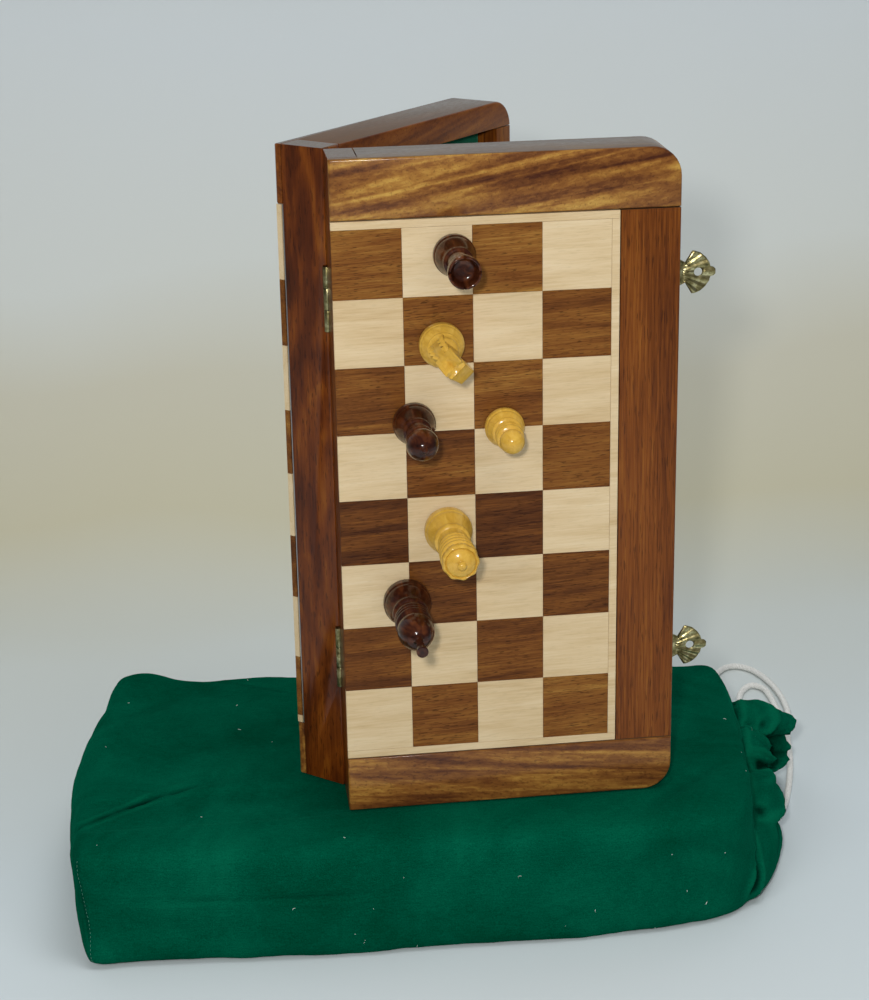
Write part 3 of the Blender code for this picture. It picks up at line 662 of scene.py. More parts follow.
def add_playing_face(name, half, materials, draw):
    first = SQUARE
    edge_x = PANEL_HIGH.x - HINGE.x
    low_z, high_z = PANEL_LOW.z - HINGE.z, PANEL_HIGH.z - HINGE.z
    dark, light = [], []
    for column in range(COLUMNS):
        for row in range(ROWS):
            across = (max(column * SQUARE, SEAM), (column + 1) * SQUARE)
            top = first + (ROWS - row) * SQUARE
            height = (top - SQUARE, top)
            if (column + row + half["odd"]) % 2 == 0:
                dark.append((across, height, ROW_TONES[row] + 0.03 * (column // 2)))
            else:
                light.append((across, height, 0.0))
    squares_end = COLUMNS * SQUARE
    strips = [((SEAM, edge_x), (low_z, first), 0.0),
              ((SEAM, edge_x), (first + ROWS * SQUARE, high_z), 0.0),
              ((squares_end, edge_x), (first, first + ROWS * SQUARE), 0.0)]
    body = f"{name}_half"
    node = (f"{name}_board_panel",)
    place = half["place"]
    finish_piece(f"{name}_dark_squares", tile_mesh(f"{name}_dark_squares", half, dark, draw),
                 [materials[name]["dark"]], body, node, place)
    finish_piece(f"{name}_light_squares", tile_mesh(f"{name}_light_squares", half, light, draw),
                 [materials[name]["light"]], body, (), place)
    finish_piece(f"{name}_border_strips", tile_mesh(f"{name}_border_strips", half, strips, draw),
                 [materials[name]["light"]], body, (), place)


# ---------------------------------------------------------------- trays

POCKET_PITCH = 27.5 * MM
POCKET_COUNT = 8
PAWN_BASE_AT = 15.2 * MM
MAJOR_BASE_AT = 112.6 * MM
LYING_DEPTH = 9.3 * MM
TRAY_EDGE = 10.8 * MM
TRAY_DEPTHS = (8.15 * MM, 18.4 * MM, 19.0 * MM)
BACK_RANK = ("rook", "knight", "bishop", "queen", "king", "bishop", "knight", "rook")
MAN_SIZES = {
    # height, foot radius, body radius in the pocket, in millimetres
    "pawn": (24, 7.35, 5.6), "rook": (30, 7.7, 6.7), "knight": (34, 8.25, 7.8),
    "bishop": (35.5, 7.9, 6.8), "queen": (41, 8.9, 7.6), "king": (50, 8.95, 7.6),
}


def pocket_height(index):
    return LENGTH / 2 + (index - (POCKET_COUNT - 1) / 2) * POCKET_PITCH


def pocket_shape(kind, index):
    """A pocket as two rounded boxes: a wide one for the foot and a narrower one for the body."""
    height, foot, body = (value * MM for value in MAN_SIZES[kind])
    middle = pocket_height(index)
    room = 1.0 * MM
    if kind == "pawn":
        start, way = PAWN_BASE_AT - room, 1
    else:
        start, way = MAJOR_BASE_AT + room, -1
    foot_end = start + way * (6.5 * MM + room)
    end = start + way * (height + 2 * room)
    return [((start + foot_end) / 2, abs(foot_end - start) / 2, foot + room * 0.7, middle),
            ((start + end) / 2, abs(end - start) / 2, body + room * 0.6, middle)]


def box_distance(x, z, shape, rounding):
    """Signed distance from a rounded box in the tray's plane: negative inside."""
    middle_x, half_x, half_z, middle_z = shape
    out_x = abs(x - middle_x) - half_x + rounding
    out_z = abs(z - middle_z) - half_z + rounding
    outside = math.hypot(max(out_x, 0), max(out_z, 0))
    return outside + min(max(out_x, out_z), 0) - rounding


def smooth_step(low, high, value):
    share = min(max((value - low) / (high - low), 0), 1)
    return share * share * (3 - 2 * share)


def add_tray(name, half, material):
    """The flocked insert: a sheet pressed down round the shape of each man."""
    node = f"{name}_piece_tray"
    low_x, high_x = TRAY_EDGE, WIDTH - TRAY_EDGE
    low_z, high_z = TRAY_EDGE, LENGTH - TRAY_EDGE
    top, floor, back = TRAY_DEPTHS
    step = 0.85 * MM
    count_x = round((high_x - low_x) / step)
    count_z = round((high_z - low_z) / step)
    shapes = []
    for index in range(POCKET_COUNT):
        shapes.append([])
        for kind in ("pawn", BACK_RANK[index]):
            shapes[-1] += pocket_shape(kind, index)
    side = half["side"]
    work = bmesh.new()
    grid = []
    for i in range(count_x + 1):
        x = low_x + (high_x - low_x) * i / count_x
        column = []
        for j in range(count_z + 1):
            z = low_z + (high_z - low_z) * j / count_z
            row = min(max(round((z - pocket_height(0)) / POCKET_PITCH), 0), POCKET_COUNT - 1)
            distance = min(box_distance(x, z, shape, 2.2 * MM) for shape in shapes[row])
            depth = top + (floor - top) * smooth_step(0.7 * MM, -1.1 * MM, distance)
            rim = min(x - low_x, high_x - x, z - low_z, high_z - z)
            depth += 0.8 * MM * (1 - smooth_step(0, 1.6 * MM, rim))
            column.append(work.verts.new((x, side * depth, z)))
        grid.append(column)
    bridge(work, grid, closed=False)
    border = [grid[i][0] for i in range(count_x + 1)]
    border += [grid[-1][j] for j in range(1, count_z + 1)]
    border += [grid[i][-1] for i in range(count_x - 1, -1, -1)]
    border += [grid[0][j] for j in range(count_z - 1, 0, -1)]
    under = [work.verts.new((vertex.co.x, side * back, vertex.co.z)) for vertex in border]
    bridge(work, [border, under])
    work.faces.new(under)
    bmesh.ops.recalc_face_normals(work, faces=work.faces)
    mesh = mesh_of(f"{name}_flocked_tray", work, 50)
    finish_piece(f"{name}_flocked_tray", mesh, [material], f"{name}_half", (node,),
                 half["place"])


# ---------------------------------------------------------------- hinges and latches

HINGE_HEIGHTS = (55.5 * MM, 198.5 * MM)
LATCH_HEIGHTS = (51.5 * MM, 202.5 * MM)
LATCH_ACROSS = 1.9 * MM
LATCH_DEPTH = 1.5 * MM


def screw_mesh(name, radius, rise):
    """A countersunk screw's head: a low dome with a slot, facing +Z."""
    work = bmesh.new()
    steps = 20
    rings = [circle(work, radius * share, rise * math.sqrt(1 - share * share), steps)
             for share in (1.0, 0.92, 0.7, 0.42, 0.14)]
    foot = circle(work, radius, -0.3 * MM, steps)
    bridge(work, [foot] + rings)
    work.faces.new(rings[-1])
    work.faces.new(foot)
    for ring in rings[1:]:
        for vertex in ring:
            if abs(vertex.co.y) < radius * 0.13:
                vertex.co.z -= rise * 0.7
    bmesh.ops.recalc_face_normals(work, faces=work.faces)
    return mesh_of(name, work, 40)


def eased_metal(node, material, width):
    """A brass CAD node keeps its shape and gets its arrises eased."""
    made = NODES[node]
    made.data.materials.clear()
    made.data.materials.append(material)
    weld = made.modifiers.new("weld", "WELD")
    weld.merge_threshold = 1e-5
    flat = made.modifiers.new("flat", "DECIMATE")
    flat.decimate_type = "DISSOLVE"
    flat.angle_limit = math.radians(1)
    ease = made.modifiers.new("ease", "BEVEL")
    ease.width = width
    ease.segments = 2
    ease.limit_method = "ANGLE"
    ease.angle_limit = math.radians(50)
    made.data.shade_smooth()
    made.data.set_sharp_from_angle(angle=math.radians(50))


def add_hinges(materials):
    for node in NODES:
        if "hinge" in node:
            eased_metal(node, materials["hinge_brass"], 0.08 * MM)
    head = screw_mesh("leaf_screw", 1.05 * MM, 0.10 * MM)
    for name, half in HALVES.items():
        for label, height in zip(("lower", "upper"), HINGE_HEIGHTS):
            for number, offset in enumerate((-8.5, 0, 8.5), 1):
                across = 6.4 * MM
                spot = Vector((across, half["side"] * SEAM, height + offset * MM))
                out = Matrix.Rotation(half["side"] * math.pi / 2, 4, "X")
                twist = Matrix.Rotation(0.7 * number + height * 90, 4, "Z")
                place = half["place"] @ Matrix.Translation(spot) @ out @ twist
                finish_piece(f"{label}_hinge_{name}_screw_{number}", head, [materials["hinge_brass"]],
                             f"{name}_half", (), place)


FAN_OUTLINE = [(0.4, 5.2), (2.4, 5.2), (3.0, 3.4), (4.4, 3.2), (7.4, 8.2), (8.3, 8.1), (9.8, 7.6),
               (10.6, 7.3), (12.0, 6.1), (12.7, 5.5), (14.0, 3.5), (14.5, 1.9), (15.6, 1.7), (16.4, 0.9),
               (16.4, 0)]
FAN_HOLE = (9.8, 1.6)
FAN_APEX = 1.0


def fan_reach(angle):
    """The distance from the hole's middle to the fan's outline, in millimetres."""
    points = FAN_OUTLINE + [(x, -z) for x, z in reversed(FAN_OUTLINE[:-1])]
    way = (math.cos(angle), math.sin(angle))
    best = 0.0
    for (x0, z0), (x1, z1) in zip(points, points[1:] + points[:1]):
        x0, x1 = x0 - FAN_HOLE[0], x1 - FAN_HOLE[0]
        cross = way[0] * (z1 - z0) - way[1] * (x1 - x0)
        if abs(cross) < 1e-9:
            continue
        reach = (x0 * (z1 - z0) - z0 * (x1 - x0)) / cross
        share = (x0 * way[1] - z0 * way[0]) / cross
        if reach > 0 and -1e-6 <= share <= 1 + 1e-6:
            best = max(best, reach)
    return best


def fan_relief(x, z):
    """Half the fan's thickness in millimetres: flutes that spread from the neck."""
    spread = math.atan2(z, x - FAN_APEX)
    flute = 0.5 + 0.5 * math.cos(spread * 2 * math.pi / math.radians(15))
    fade = smooth_step(3.2, 5.6, x)
    from_hole = math.hypot(x - FAN_HOLE[0], z) - FAN_HOLE[1]
    collar = 0.25 * math.exp(-(from_hole / 0.45) ** 2)
    groove = 0.22 * math.exp(-((x - 3.4) / 0.5) ** 2)
    return 0.26 + 0.42 * flute * fade * smooth_step(0.1, 1.0, from_hole) + collar - groove


def fan_mesh(name):
    """The fluted fan with its hole, in X and Z round the hasp's own axis, and its barrel."""
    work = bmesh.new()
    around, out = 144, 18
    sides = []
    for facing in (-1, 1):
        rings = []
        for level in range(out + 1):
            ring = []
            for step in range(around):
                angle = 2 * math.pi * step / around
                reach = fan_reach(angle)
                radius = FAN_HOLE[1] + (reach - FAN_HOLE[1]) * level / out
                x = FAN_HOLE[0] + radius * math.cos(angle)
                z = radius * math.sin(angle)
                thick = fan_relief(x, z)
                if level in (0, out):
                    thick *= 0.55
                ring.append(work.verts.new((x * MM, facing * thick * MM, z * MM)))
            rings.append(ring)
        bridge(work, rings)
        sides.append(rings)
    bridge(work, [sides[0][0], sides[1][0]])
    bridge(work, [sides[0][-1], sides[1][-1]])
    barrel = [(0.0, -5.3), (0.85, -5.3), (1.0, -5.1), (1.0, -0.5), (0.9, -0.4), (0.9, 0.4), (1.0, 0.5),
              (1.0, 5.1), (0.85, 5.3), (0.0, 5.3)]
    add_lathe(work, barrel, 20)
    for low, high in ((-7.3, -5.3), (5.3, 7.3)):
        add_lathe(work, [(0.0, low), (0.55, low), (0.55, high), (0.0, high)], 12)
    bmesh.ops.recalc_face_normals(work, faces=work.faces)
    return mesh_of(name, work, 40)


def add_latches(materials):
    fan = fan_mesh("fluted_fan")
    head = screw_mesh("plate_screw", 1.25 * MM, 0.26 * MM)
    stud_profile = [(0, 3.6), (0.7, 3.52), (1.15, 3.25), (1.38, 2.8), (1.3, 2.35), (1.05, 2.05), (1.0, 1.0),
                    (1.35, 0.75), (2.2, 0.62), (2.6, 0.35), (2.6, 0.0), (0, 0.0)]
    stud = turned("latch_stud", stud_profile, 32)
    for label, height in zip(("lower", "upper"), LATCH_HEIGHTS):
        eased_metal(f"{label}_latch_plate", materials["brass"], 0.12 * MM)
        axis = Vector((WIDTH + LATCH_ACROSS, -LATCH_DEPTH, height))
        finish_piece(f"{label}_fan_hasp", fan, [materials["brass"]], f"{label}_hasp",
                     (f"{label}_hasp",), FRONT_PLACE @ Matrix.Translation(axis))
        outward = Matrix.Rotation(math.pi / 2, 4, "Y")
        for number, offset in enumerate((-5.0, 5.0), 1):
            spot = Vector((WIDTH + 1.1 * MM, -8.6 * MM, height + offset * MM))
            twist = Matrix.Rotation(1.1 * number + height * 40, 4, "Z")
            finish_piece(f"{label}_plate_screw_{number}", head, [materials["brass"]], "front_half",
                         (), FRONT_PLACE @ Matrix.Translation(spot) @ outward @ twist)
        low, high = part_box(f"{label}_latch_stud")
        middle = REAR_PLACE.inverted() @ ((low + high) / 2)
        foot = Vector((WIDTH + 0.3 * MM, middle.y, height))
        finish_piece(f"{label}_turned_stud", stud, [materials["brass"]], "rear_half",
                     (f"{label}_latch_stud",), REAR_PLACE @ Matrix.Translation(foot) @ outward)


# ---------------------------------------------------------------- chess men

# Each profile is a row of runs, tip first.  A run is a smooth curve from the end of the run
# before it through its own points, and the corner between two runs stays crisp.
FOOT = {
    "pawn": (7.35, 4.0), "rook": (7.7, 4.4), "knight": (8.25, 4.6),
    "bishop": (7.9, 4.4), "queen": (8.9, 4.8), "king": (8.95, 4.8),
}
UPPER_RUNS = {
    "pawn": [
        [(0, 24), (1.8, 23.7), (3.6, 22.3), (4.5, 20.2), (4.5, 18.8), (4.0, 17.4), (3.3, 16.4)],
        [(4.7, 15.9), (5.15, 15.0), (4.8, 14.2), (3.9, 13.8)],
        [(4.9, 13.3), (5.1, 12.6), (4.4, 11.9)],
        [(4.2, 10.6), (4.7, 9.0)],
        [(5.5, 8.6), (5.7, 7.9), (5.4, 7.3)],
    ],
    "rook": [
        [(0, 25.6), (2.8, 25.6), (4.1, 26.4), (4.7, 28.4), (5.0, 29.8)],
        [(5.2, 30.0), (5.7, 30.0), (5.9, 29.8)],
        [(6.0, 28.0), (5.8, 26.2)],
        [(5.2, 25.2), (4.5, 24.4)],
        [(4.9, 24.0), (4.9, 23.4), (4.3, 23.0)],
        [(4.1, 19.0), (4.5, 14.6)],
        [(5.3, 14.2), (5.5, 13.4), (5.0, 12.8)],
        [(5.2, 11.0), (5.9, 9.2)],
    ],
    "knight": [
        [(0, 12.2), (3.8, 12.1), (4.7, 11.7)],
        [(5.0, 11.2), (4.8, 10.5)],
        [(5.0, 9.6), (5.6, 8.8)],
        [(6.1, 8.4), (6.1, 7.8), (5.7, 7.4)],
    ],
    "bishop": [
        [(0, 35.5), (0.8, 35.3), (1.3, 34.6), (1.1, 33.8)],
        [(2.6, 33.2), (4.4, 31.6), (5.5, 29.4), (5.9, 27.2), (5.5, 25.2), (4.5, 23.9)],
        [(5.3, 23.4), (5.5, 22.8), (5.0, 22.2), (4.5, 22.0)],
        [(5.1, 21.5), (5.3, 20.8), (4.8, 20.2), (4.3, 20.0)],
        [(4.9, 19.5), (5.0, 18.8), (4.4, 18.2)],
        [(4.0, 16.0), (4.3, 13.4)],
        [(5.1, 12.9), (5.3, 12.1), (4.7, 11.4)],
        [(4.8, 10.2), (5.4, 9.0)],
    ],
    "queen": [
        [(0, 41), (1.1, 40.7), (1.75, 39.8), (1.5, 38.9), (1.1, 38.5)],
        [(3.0, 38.2), (4.8, 37.3), (5.5, 36.3)],
        [(6.0, 36.8), (6.7, 36.5), (6.95, 35.7)],
        [(6.9, 34.4), (6.5, 33.0), (6.0, 32.2)],
        [(6.7, 31.6), (6.85, 30.7), (6.5, 29.6), (5.8, 29.0)],
        [(6.5, 28.4), (6.7, 27.5), (6.3, 26.4), (5.6, 25.8)],
        [(6.3, 25.2), (6.5, 24.3), (6.1, 23.2), (5.4, 22.6)],
        [(6.0, 22.0), (6.2, 21.1), (5.6, 20.0)],
        [(5.2, 18.4), (5.3, 16.6), (5.7, 15.2)],
        [(6.5, 14.7), (6.9, 13.5), (6.5, 12.4), (6.1, 12.0)],
        [(6.2, 10.8), (6.7, 9.6)],
    ],
    "king": [
        [(0, 50), (1.9, 50.0), (2.15, 49.7)],
        [(2.0, 47.4), (1.55, 44.4), (1.3, 41.8), (1.5, 39.9), (2.1, 38.9)],
        [(3.8, 38.0), (5.4, 35.9), (6.4, 33.4), (6.85, 31.0), (6.75, 29.2)],
        [(6.4, 28.8), (6.7, 28.2), (6.4, 27.6)],
        [(6.75, 27.1), (6.4, 26.5)],
        [(6.75, 26.0), (6.35, 25.4)],
        [(6.75, 24.8), (6.8, 23.8), (6.2, 23.0)],
        [(6.7, 22.4), (6.75, 21.4), (6.1, 20.6)],
        [(6.6, 20.0), (6.6, 18.8), (5.9, 17.8)],
        [(5.5, 16.6), (5.7, 15.4)],
        [(6.5, 14.8), (6.8, 13.6), (6.4, 12.4), (6.0, 12.0)],
        [(6.1, 10.8), (6.6, 9.6)],
    ],
}


def foot_runs(kind):
    """The spreading foot with its ring, from the last point of the upper part."""
    radius, shoulder = FOOT[kind]
    x, z = UPPER_RUNS[kind][-1][-1]
    return [
        [(x + (radius - x) * 0.30, z - (z - shoulder) * 0.30),
         (x + (radius - x) * 0.72, z - (z - shoulder) * 0.78), (radius - 0.5, shoulder)],
        [(radius - 0.42, shoulder - 0.35)],
        [(radius - 0.08, shoulder - 0.9), (radius, shoulder - 1.7), (radius, 1.2), (radius - 0.25, 0.45)],
        [(radius - 0.7, 0.40)],
        [(radius - 0.75, 0.02)],
        [(0, 0.0)],
    ]


def man_profile(kind):
    """(radius, height) points in millimetres from the tip to the middle of the foot."""
    profile = []
    start = []
    for run in UPPER_RUNS[kind] + foot_runs(kind):
        points = start + run
        line = [Vector((x, z, 0)) for x, z in points]
        if len(points) > 2:
            line = smooth_line(line, 3)
        profile += [(max(point.x, 0), point.y) for point in line][len(start):]
        start = run[-1:]
    profile[-1] = (0, 0)
    return profile


# The knight's side outline in millimetres, forward and up, from the chest round the back to
# the ears and down the face: (forward, up, lift in the middle, part)
KNIGHT_OUTLINE = [
    (4.4, 8.6, 0, "chest"), (-4.4, 8.6, 0, "back"), (-5.0, 11.0, 0, "back"), (-5.5, 13.4, 0, "mane"),
    (-5.65, 15.2, 0, "mane"), (-5.6, 17.0, 0, "mane"), (-5.5, 18.8, 0, "mane"), (-5.3, 20.6, 0, "mane"),
    (-5.0, 22.4, 0, "mane"), (-4.5, 24.2, 0, "mane"), (-3.9, 25.9, 0, "mane"), (-3.3, 27.5, 0, "back"),
    (-2.6, 29.4, -0.9, "back"), (-1.6, 31.6, -3.0, "back"), (-0.6, 33.2, -4.6, "ear"),
    (0.2, 34.0, -5.0, "ear"), (1.0, 32.6, -2.4, "ear"), (1.7, 31.6, -1.2, "face"), (3.0, 31.3, 0, "face"),
    (3.7, 29.6, 0, "face"), (4.9, 28.7, 0, "face"), (6.6, 27.1, 0, "face"), (8.6, 25.4, 0, "face"),
    (9.2, 23.8, 0, "muzzle"), (9.0, 22.2, 0, "muzzle"),
    (7.6, 21.2, 0, "muzzle"), (6.0, 21.0, 0, "jaw"), (4.6, 21.8, 0, "jaw"), (3.6, 22.2, 0, "jaw"),
    (2.6, 21.0, 0, "throat"), (2.4, 18.6, 0, "throat"), (3.0, 15.4, 0, "throat"), (3.8, 12.0, 0, "chest"),
]
KNIGHT_HALF = 3.8
KNIGHT_SLICES = (-1.0, -0.92, -0.62, -0.3, 0.0, 0.3, 0.62, 0.92, 1.0)


def knight_point(number, across):
    """A point of the head's outline on one slice across it."""
    forward, up, lift, part = KNIGHT_OUTLINE[number]
    edge = abs(across)
    half = KNIGHT_HALF
    up += lift * (1 - edge)
    if part == "mane" and number % 2 and edge > 0.5:
        forward += 1.9
        half -= 1.5
    if part in ("face", "muzzle"):
        half -= 0.55 * smooth_step(2, 9, forward)
    if part in ("throat", "chest", "jaw"):
        half -= 0.5
    if edge == 1.0:
        inward = Vector((0.4 - forward, 20 - up)).normalized() * 0.35
        forward += inward.x
        up += inward.y
    return Vector((forward, half * across, up)) * MM


def add_knight_head(work):
    """A sawn head: flat cheeks, a notched mane, a valley between the ears and a square muzzle."""
    rings = [[work.verts.new(knight_point(number, across)) for number in range(len(KNIGHT_OUTLINE))]
             for across in KNIGHT_SLICES]
    bridge(work, rings)
    work.faces.new(rings[0])
    work.faces.new(rings[-1])
    for side in (-1, 1):
        eye = Matrix.Translation(Vector((2.6, side * 3.45, 28.4)) * MM) @ Matrix.Diagonal((1, 0.5, 1, 1))
        add_lathe(work, [(0, -0.8), (0.6, -0.5), (0.8, 0), (0.6, 0.5), (0, 0.8)], 10, eye)


def man_mesh(kind, material, felt):
    steps = 56
    profile = man_profile(kind)
    work = bmesh.new()
    work.from_mesh(turned(kind, profile, steps, colours=lambda number: int(number >= len(profile) - 3)))
    if kind == "rook":
        for vertex in work.verts:
            if vertex.co.z > 29.6 * MM:
                angle = math.atan2(vertex.co.y, vertex.co.x)
                if math.cos(4 * angle) > 0.93:
                    vertex.co.z -= 0.9 * MM
    if kind == "queen":
        for vertex in work.verts:
            radius = math.hypot(vertex.co.x, vertex.co.y)
            if vertex.co.z > 33 * MM and radius > 5.8 * MM:
                angle = math.atan2(vertex.co.y, vertex.co.x)
                scallop = 0.5 - 0.5 * math.cos(9 * angle)
                share = smooth_step(5.8 * MM, 6.7 * MM, radius)
                vertex.co.z -= 0.45 * MM * scallop * share
                vertex.co.x *= 1 - 0.05 * scallop * share
                vertex.co.y *= 1 - 0.05 * scallop * share
    if kind == "knight":
        add_knight_head(work)
    bmesh.ops.recalc_face_normals(work, faces=work.faces)
    mesh = mesh_of(kind, work, 32)
    mesh.materials.append(material)
    mesh.materials.append(felt)
    return mesh


ON_FACE_TURN = {"white_knight_1": -45.0}


def man_names(colour):
    men = [(f"{colour}_pawn_{index + 1}", "pawn", index) for index in range(POCKET_COUNT)]
    for index, kind in enumerate(BACK_RANK):
        number = 1 + BACK_RANK[:index].count(kind)
        alone = BACK_RANK.count(kind) == 1
        men.append((f"{colour}_{kind}" if alone else f"{colour}_{kind}_{number}", kind, index))
    return men


def man_place(name, kind, index, half):
    """Where a man stands on the face, or lies in its pocket."""
    low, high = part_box(name)
    if name + "_off" in JOINTS:
        middle = (low + high) / 2
        turn = math.radians(ON_FACE_TURN.get(name, 0.0))
        foot = HINGE.y - THICK - 0.3 * MM
        spot = Vector((middle.x, foot, middle.z))
        if kind == "knight":
            spot = Vector((low.x + 8.25 * MM, foot, high.z - 8.25 * MM))
        return Matrix.Translation(spot) @ Matrix.Rotation(math.pi / 2, 4, "X") @ Matrix.Rotation(turn, 4, "Z")
    across = PAWN_BASE_AT if kind == "pawn" else MAJOR_BASE_AT
    lean = math.pi / 2 if kind == "pawn" else -math.pi / 2
    spot = Vector((across, half["side"] * LYING_DEPTH, pocket_height(index)))
    return half["place"] @ Matrix.Translation(spot) @ Matrix.Rotation(lean, 4, "Y")


def add_men(materials):
    for half in HALVES.values():
        colour = half["colour"]
        slot = "black_man" if colour == "black" else "boxwood"
        meshes = {kind: man_mesh(kind, materials[slot], materials["foot_felt"]) for kind in FOOT}
        for name, kind, index in man_names(colour):
            finish_piece(f"{name}_turned", meshes[kind], [], name, (name,),
                         man_place(name, kind, index, half))


# ---------------------------------------------------------------- bag

BAG_TURN = math.radians(-5.5)
BAG_PLACE = Matrix.Rotation(BAG_TURN, 4, "Z")
BAG_HEIGHT = 48.0
# The stuffed body's sections, in the bag's own millimetres: place, middle across, half width,
# middle height, half height and squareness
BODY_SECTIONS = [
    (-141, -5, 14, 32, 7, 2.3), (-139.6, -5, 32, 30, 12.5, 2.6), (-137, -4, 50, 28, 17.5, 3.4),
    (-134, -3, 65, 26, 21.5, 4.8), (-130.5, -3.5, 75.5, 25, 24.0, 6.5), (-124, -3.5, 78.5, 24, 25, 8.0),
    (-90, -3.5, 79, 24, 25, 8.5), (-40, -2.5, 78, 24, 25, 8.5), (14, -1, 76, 24, 25, 8.5),
    (84, 2, 73, 24, 25, 8.5), (105, 4, 70.5, 24, 25, 8.0), (118, 6.5, 68, 24, 25, 7.5),
    (124, 8.5, 66, 24, 25, 7.5), (127.5, 10.5, 63, 24, 24.8, 7.5), (130, 12.5, 59, 24, 24.4, 6.5),
    (132.4, 17.5, 51.5, 24.5, 23.4, 5.0), (134.4, 27, 38, 26, 21, 3.8), (136.2, 38, 20, 30, 15, 3.0),
    (136.8, 40, 10, 32, 8, 2.4),
]
# Slack cloth beyond the body: middle, half lengths, turn about up, tilt about across
LOBES = [
    ((135.5, -26, 8.5), (9.5, 29, 11.0), -22, 0),
    ((142.0, 1, 20.0), (9.5, 16, 11.5), -8, -4),
    ((139.5, 27, 26.5), (10.5, 14, 14.0), 16, 0),
    ((146.5, 49, 33.0), (17.5, 11.5, 9.0), 20, 13),
    ((152.5, 50, 18.0), (11.0, 9.5, 10.5), 30, -4),
    ((138.0, 58, 16.0), (12.0, 15, 15.0), 26, 0),
    ((131.0, 36, 8.0), (15.0, 20, 9.0), 10, 0),
]
# The open mouth: middle, the way it faces, half sizes along and up, depth
MOUTH_MIDDLE = Vector((155.0, 39.0, 22.5))
MOUTH_FACES = Vector((0.58, -0.76, 0.30)).normalized()
MOUTH_SIZE = (11.0, 9.5)
MOUTH_DEPTH = 15.0


def add_loft(work, sections, around):
    """A closed body of rounded sections along X."""
    rings = []
    for place, middle, half_width, middle_height, half_height, square in sections:
        ring = []
        for step in range(around):
            angle = 2 * math.pi * step / around
            cosine, sine = math.cos(angle), math.sin(angle)
            power = 2 / square if sine > 0 else 1.3 / square
            across = math.copysign(abs(cosine) ** power, cosine)
            up = math.copysign(abs(sine) ** power, sine)
            y, z = middle + half_width * across, middle_height + half_height * up
            ring.append(work.verts.new((place, y, z)))
        rings.append(ring)
    bridge(work, rings)
    work.faces.new(rings[0])
    work.faces.new(rings[-1])


def bag_bulk():
    """The body and its slack lobes grown together, with creases where they meet."""
    work = bmesh.new()
    first = smooth_line([section[:3] for section in BODY_SECTIONS], 4)
    last = smooth_line([section[3:] for section in BODY_SECTIONS], 4)
    add_loft(work, [(*one, *two) for one, two in zip(first, last)], 128)
    for middle, size, turn, tilt in LOBES:
        place = (Matrix.Translation(middle) @ Matrix.Rotation(math.radians(turn), 4, "Z")
                 @ Matrix.Rotation(math.radians(tilt), 4, "Y") @ Matrix.Diagonal((*size, 1)))
        bmesh.ops.create_uvsphere(work, u_segments=40, v_segments=28, radius=1.0, matrix=place)
    bmesh.ops.recalc_face_normals(work, faces=work.faces)
    mesh = bpy.data.meshes.new("bag_bulk")
    work.to_mesh(mesh)
    work.free()
    holder = bpy.data.objects.new("bag_bulk", mesh)
    bpy.context.scene.collection.objects.link(holder)
    skin = holder.modifiers.new("skin", "REMESH")
    skin.mode = "VOXEL"
    skin.voxel_size = 1.5
    bpy.context.view_layer.update()
    grown = bpy.data.meshes.new_from_object(holder.evaluated_get(bpy.context.evaluated_depsgraph_get()))
    bpy.data.objects.remove(holder)
    return grown


# Creases, in the bag's own millimetres: from, to, half width, depth
CREASES = [
    ((-122, -81, 29), (-70, -82, 28), 1.3, 1.0),
    ((-70, -82, 28), (0, -80, 27), 1.5, 0.7),
    ((-134, -60, 47), (-118, -46, 49), 1.5, 1.6),
    ((-118, -46, 49), (-103, -34, 49), 1.6, 1.9),
    ((-103, -34, 49), (-90, -27, 49), 2.2, 1.0),
    ((-90, -27, 49), (-70, -17, 49), 3.0, 0.6),
    ((-135, -62, 46), (-133, -73, 38), 1.5, 1.4),
    ((-131, -79, 44), (-127, -83, 2), 1.2, 0.8),
    ((-127, -79, 20), (-70, -80, 12), 4.5, 0.6),
    ((30, -78, 36), (112, -73, 22), 5.0, 0.7),
    ((84, -60, 49), (132, -10, 46), 5.0, 1.2),
    ((100, -72, 40), (131, -47, 20), 4.0, 1.4),
    ((-104, 75, 49), (-50, 55, 49), 1.6, 0.7),
    ((-132, 30, 46), (-96, 60, 49), 5.0, 0.8),
    ((138, 60, 42), (137, 30, 40), 2.0, 2.6),
    ((137, 30, 40), (134.5, 6, 34), 2.0, 3.0),
    ((134.5, 6, 34), (132.5, -14, 28), 2.0, 3.0),
    ((132.5, -14, 28), (132, -44, 18), 1.8, 3.0),
    ((132, -44, 18), (130, -54, 3), 1.8, 2.6),
    ((152, 16, 26), (140, 12, 33), 2.0, 2.6),
    ((154, 24, 20), (145, 16, 30), 2.2, 2.6),
    ((150, -4, 14), (137, -16, 24), 1.8, 2.4),
    ((150, 54, 38), (143, 38, 37), 1.5, 1.6),
    ((156, 52, 37), (147, 34, 36), 1.4, 1.5),
    ((161, 54, 34), (153, 36, 33), 1.2, 1.1),
    ((148, 30, 34), (141, 20, 30), 1.6, 1.6),
]
# Puffs: where, how far round, and which way they push
PUFFS = [
    ((-121, 72, 47), (16, 16, 12), (-0.5, 3.0, 6.5)),
    ((-60, 74, 47), (60, 14, 12), (0.0, 3.5, 3.0)),
    ((-100, -79, 42), (40, 10, 9), (0.0, -0.8, 1.5)),
    ((-128, -80, 3), (14, 12, 7), (0.5, -3.0, 0.0)),
    ((112, 70, 47), (26, 18, 12), (0.0, 1.0, 4.0)),
    ((130, 66, 46), (9, 14, 9), (2.5, 1.5, 1.5)),
    ((131, -48, 14), (4, 8, 12), (1.5, -0.8, 0.0)),
    ((162, 53, 31), (5, 6, 5), (3.0, 1.0, 0.0)),
]


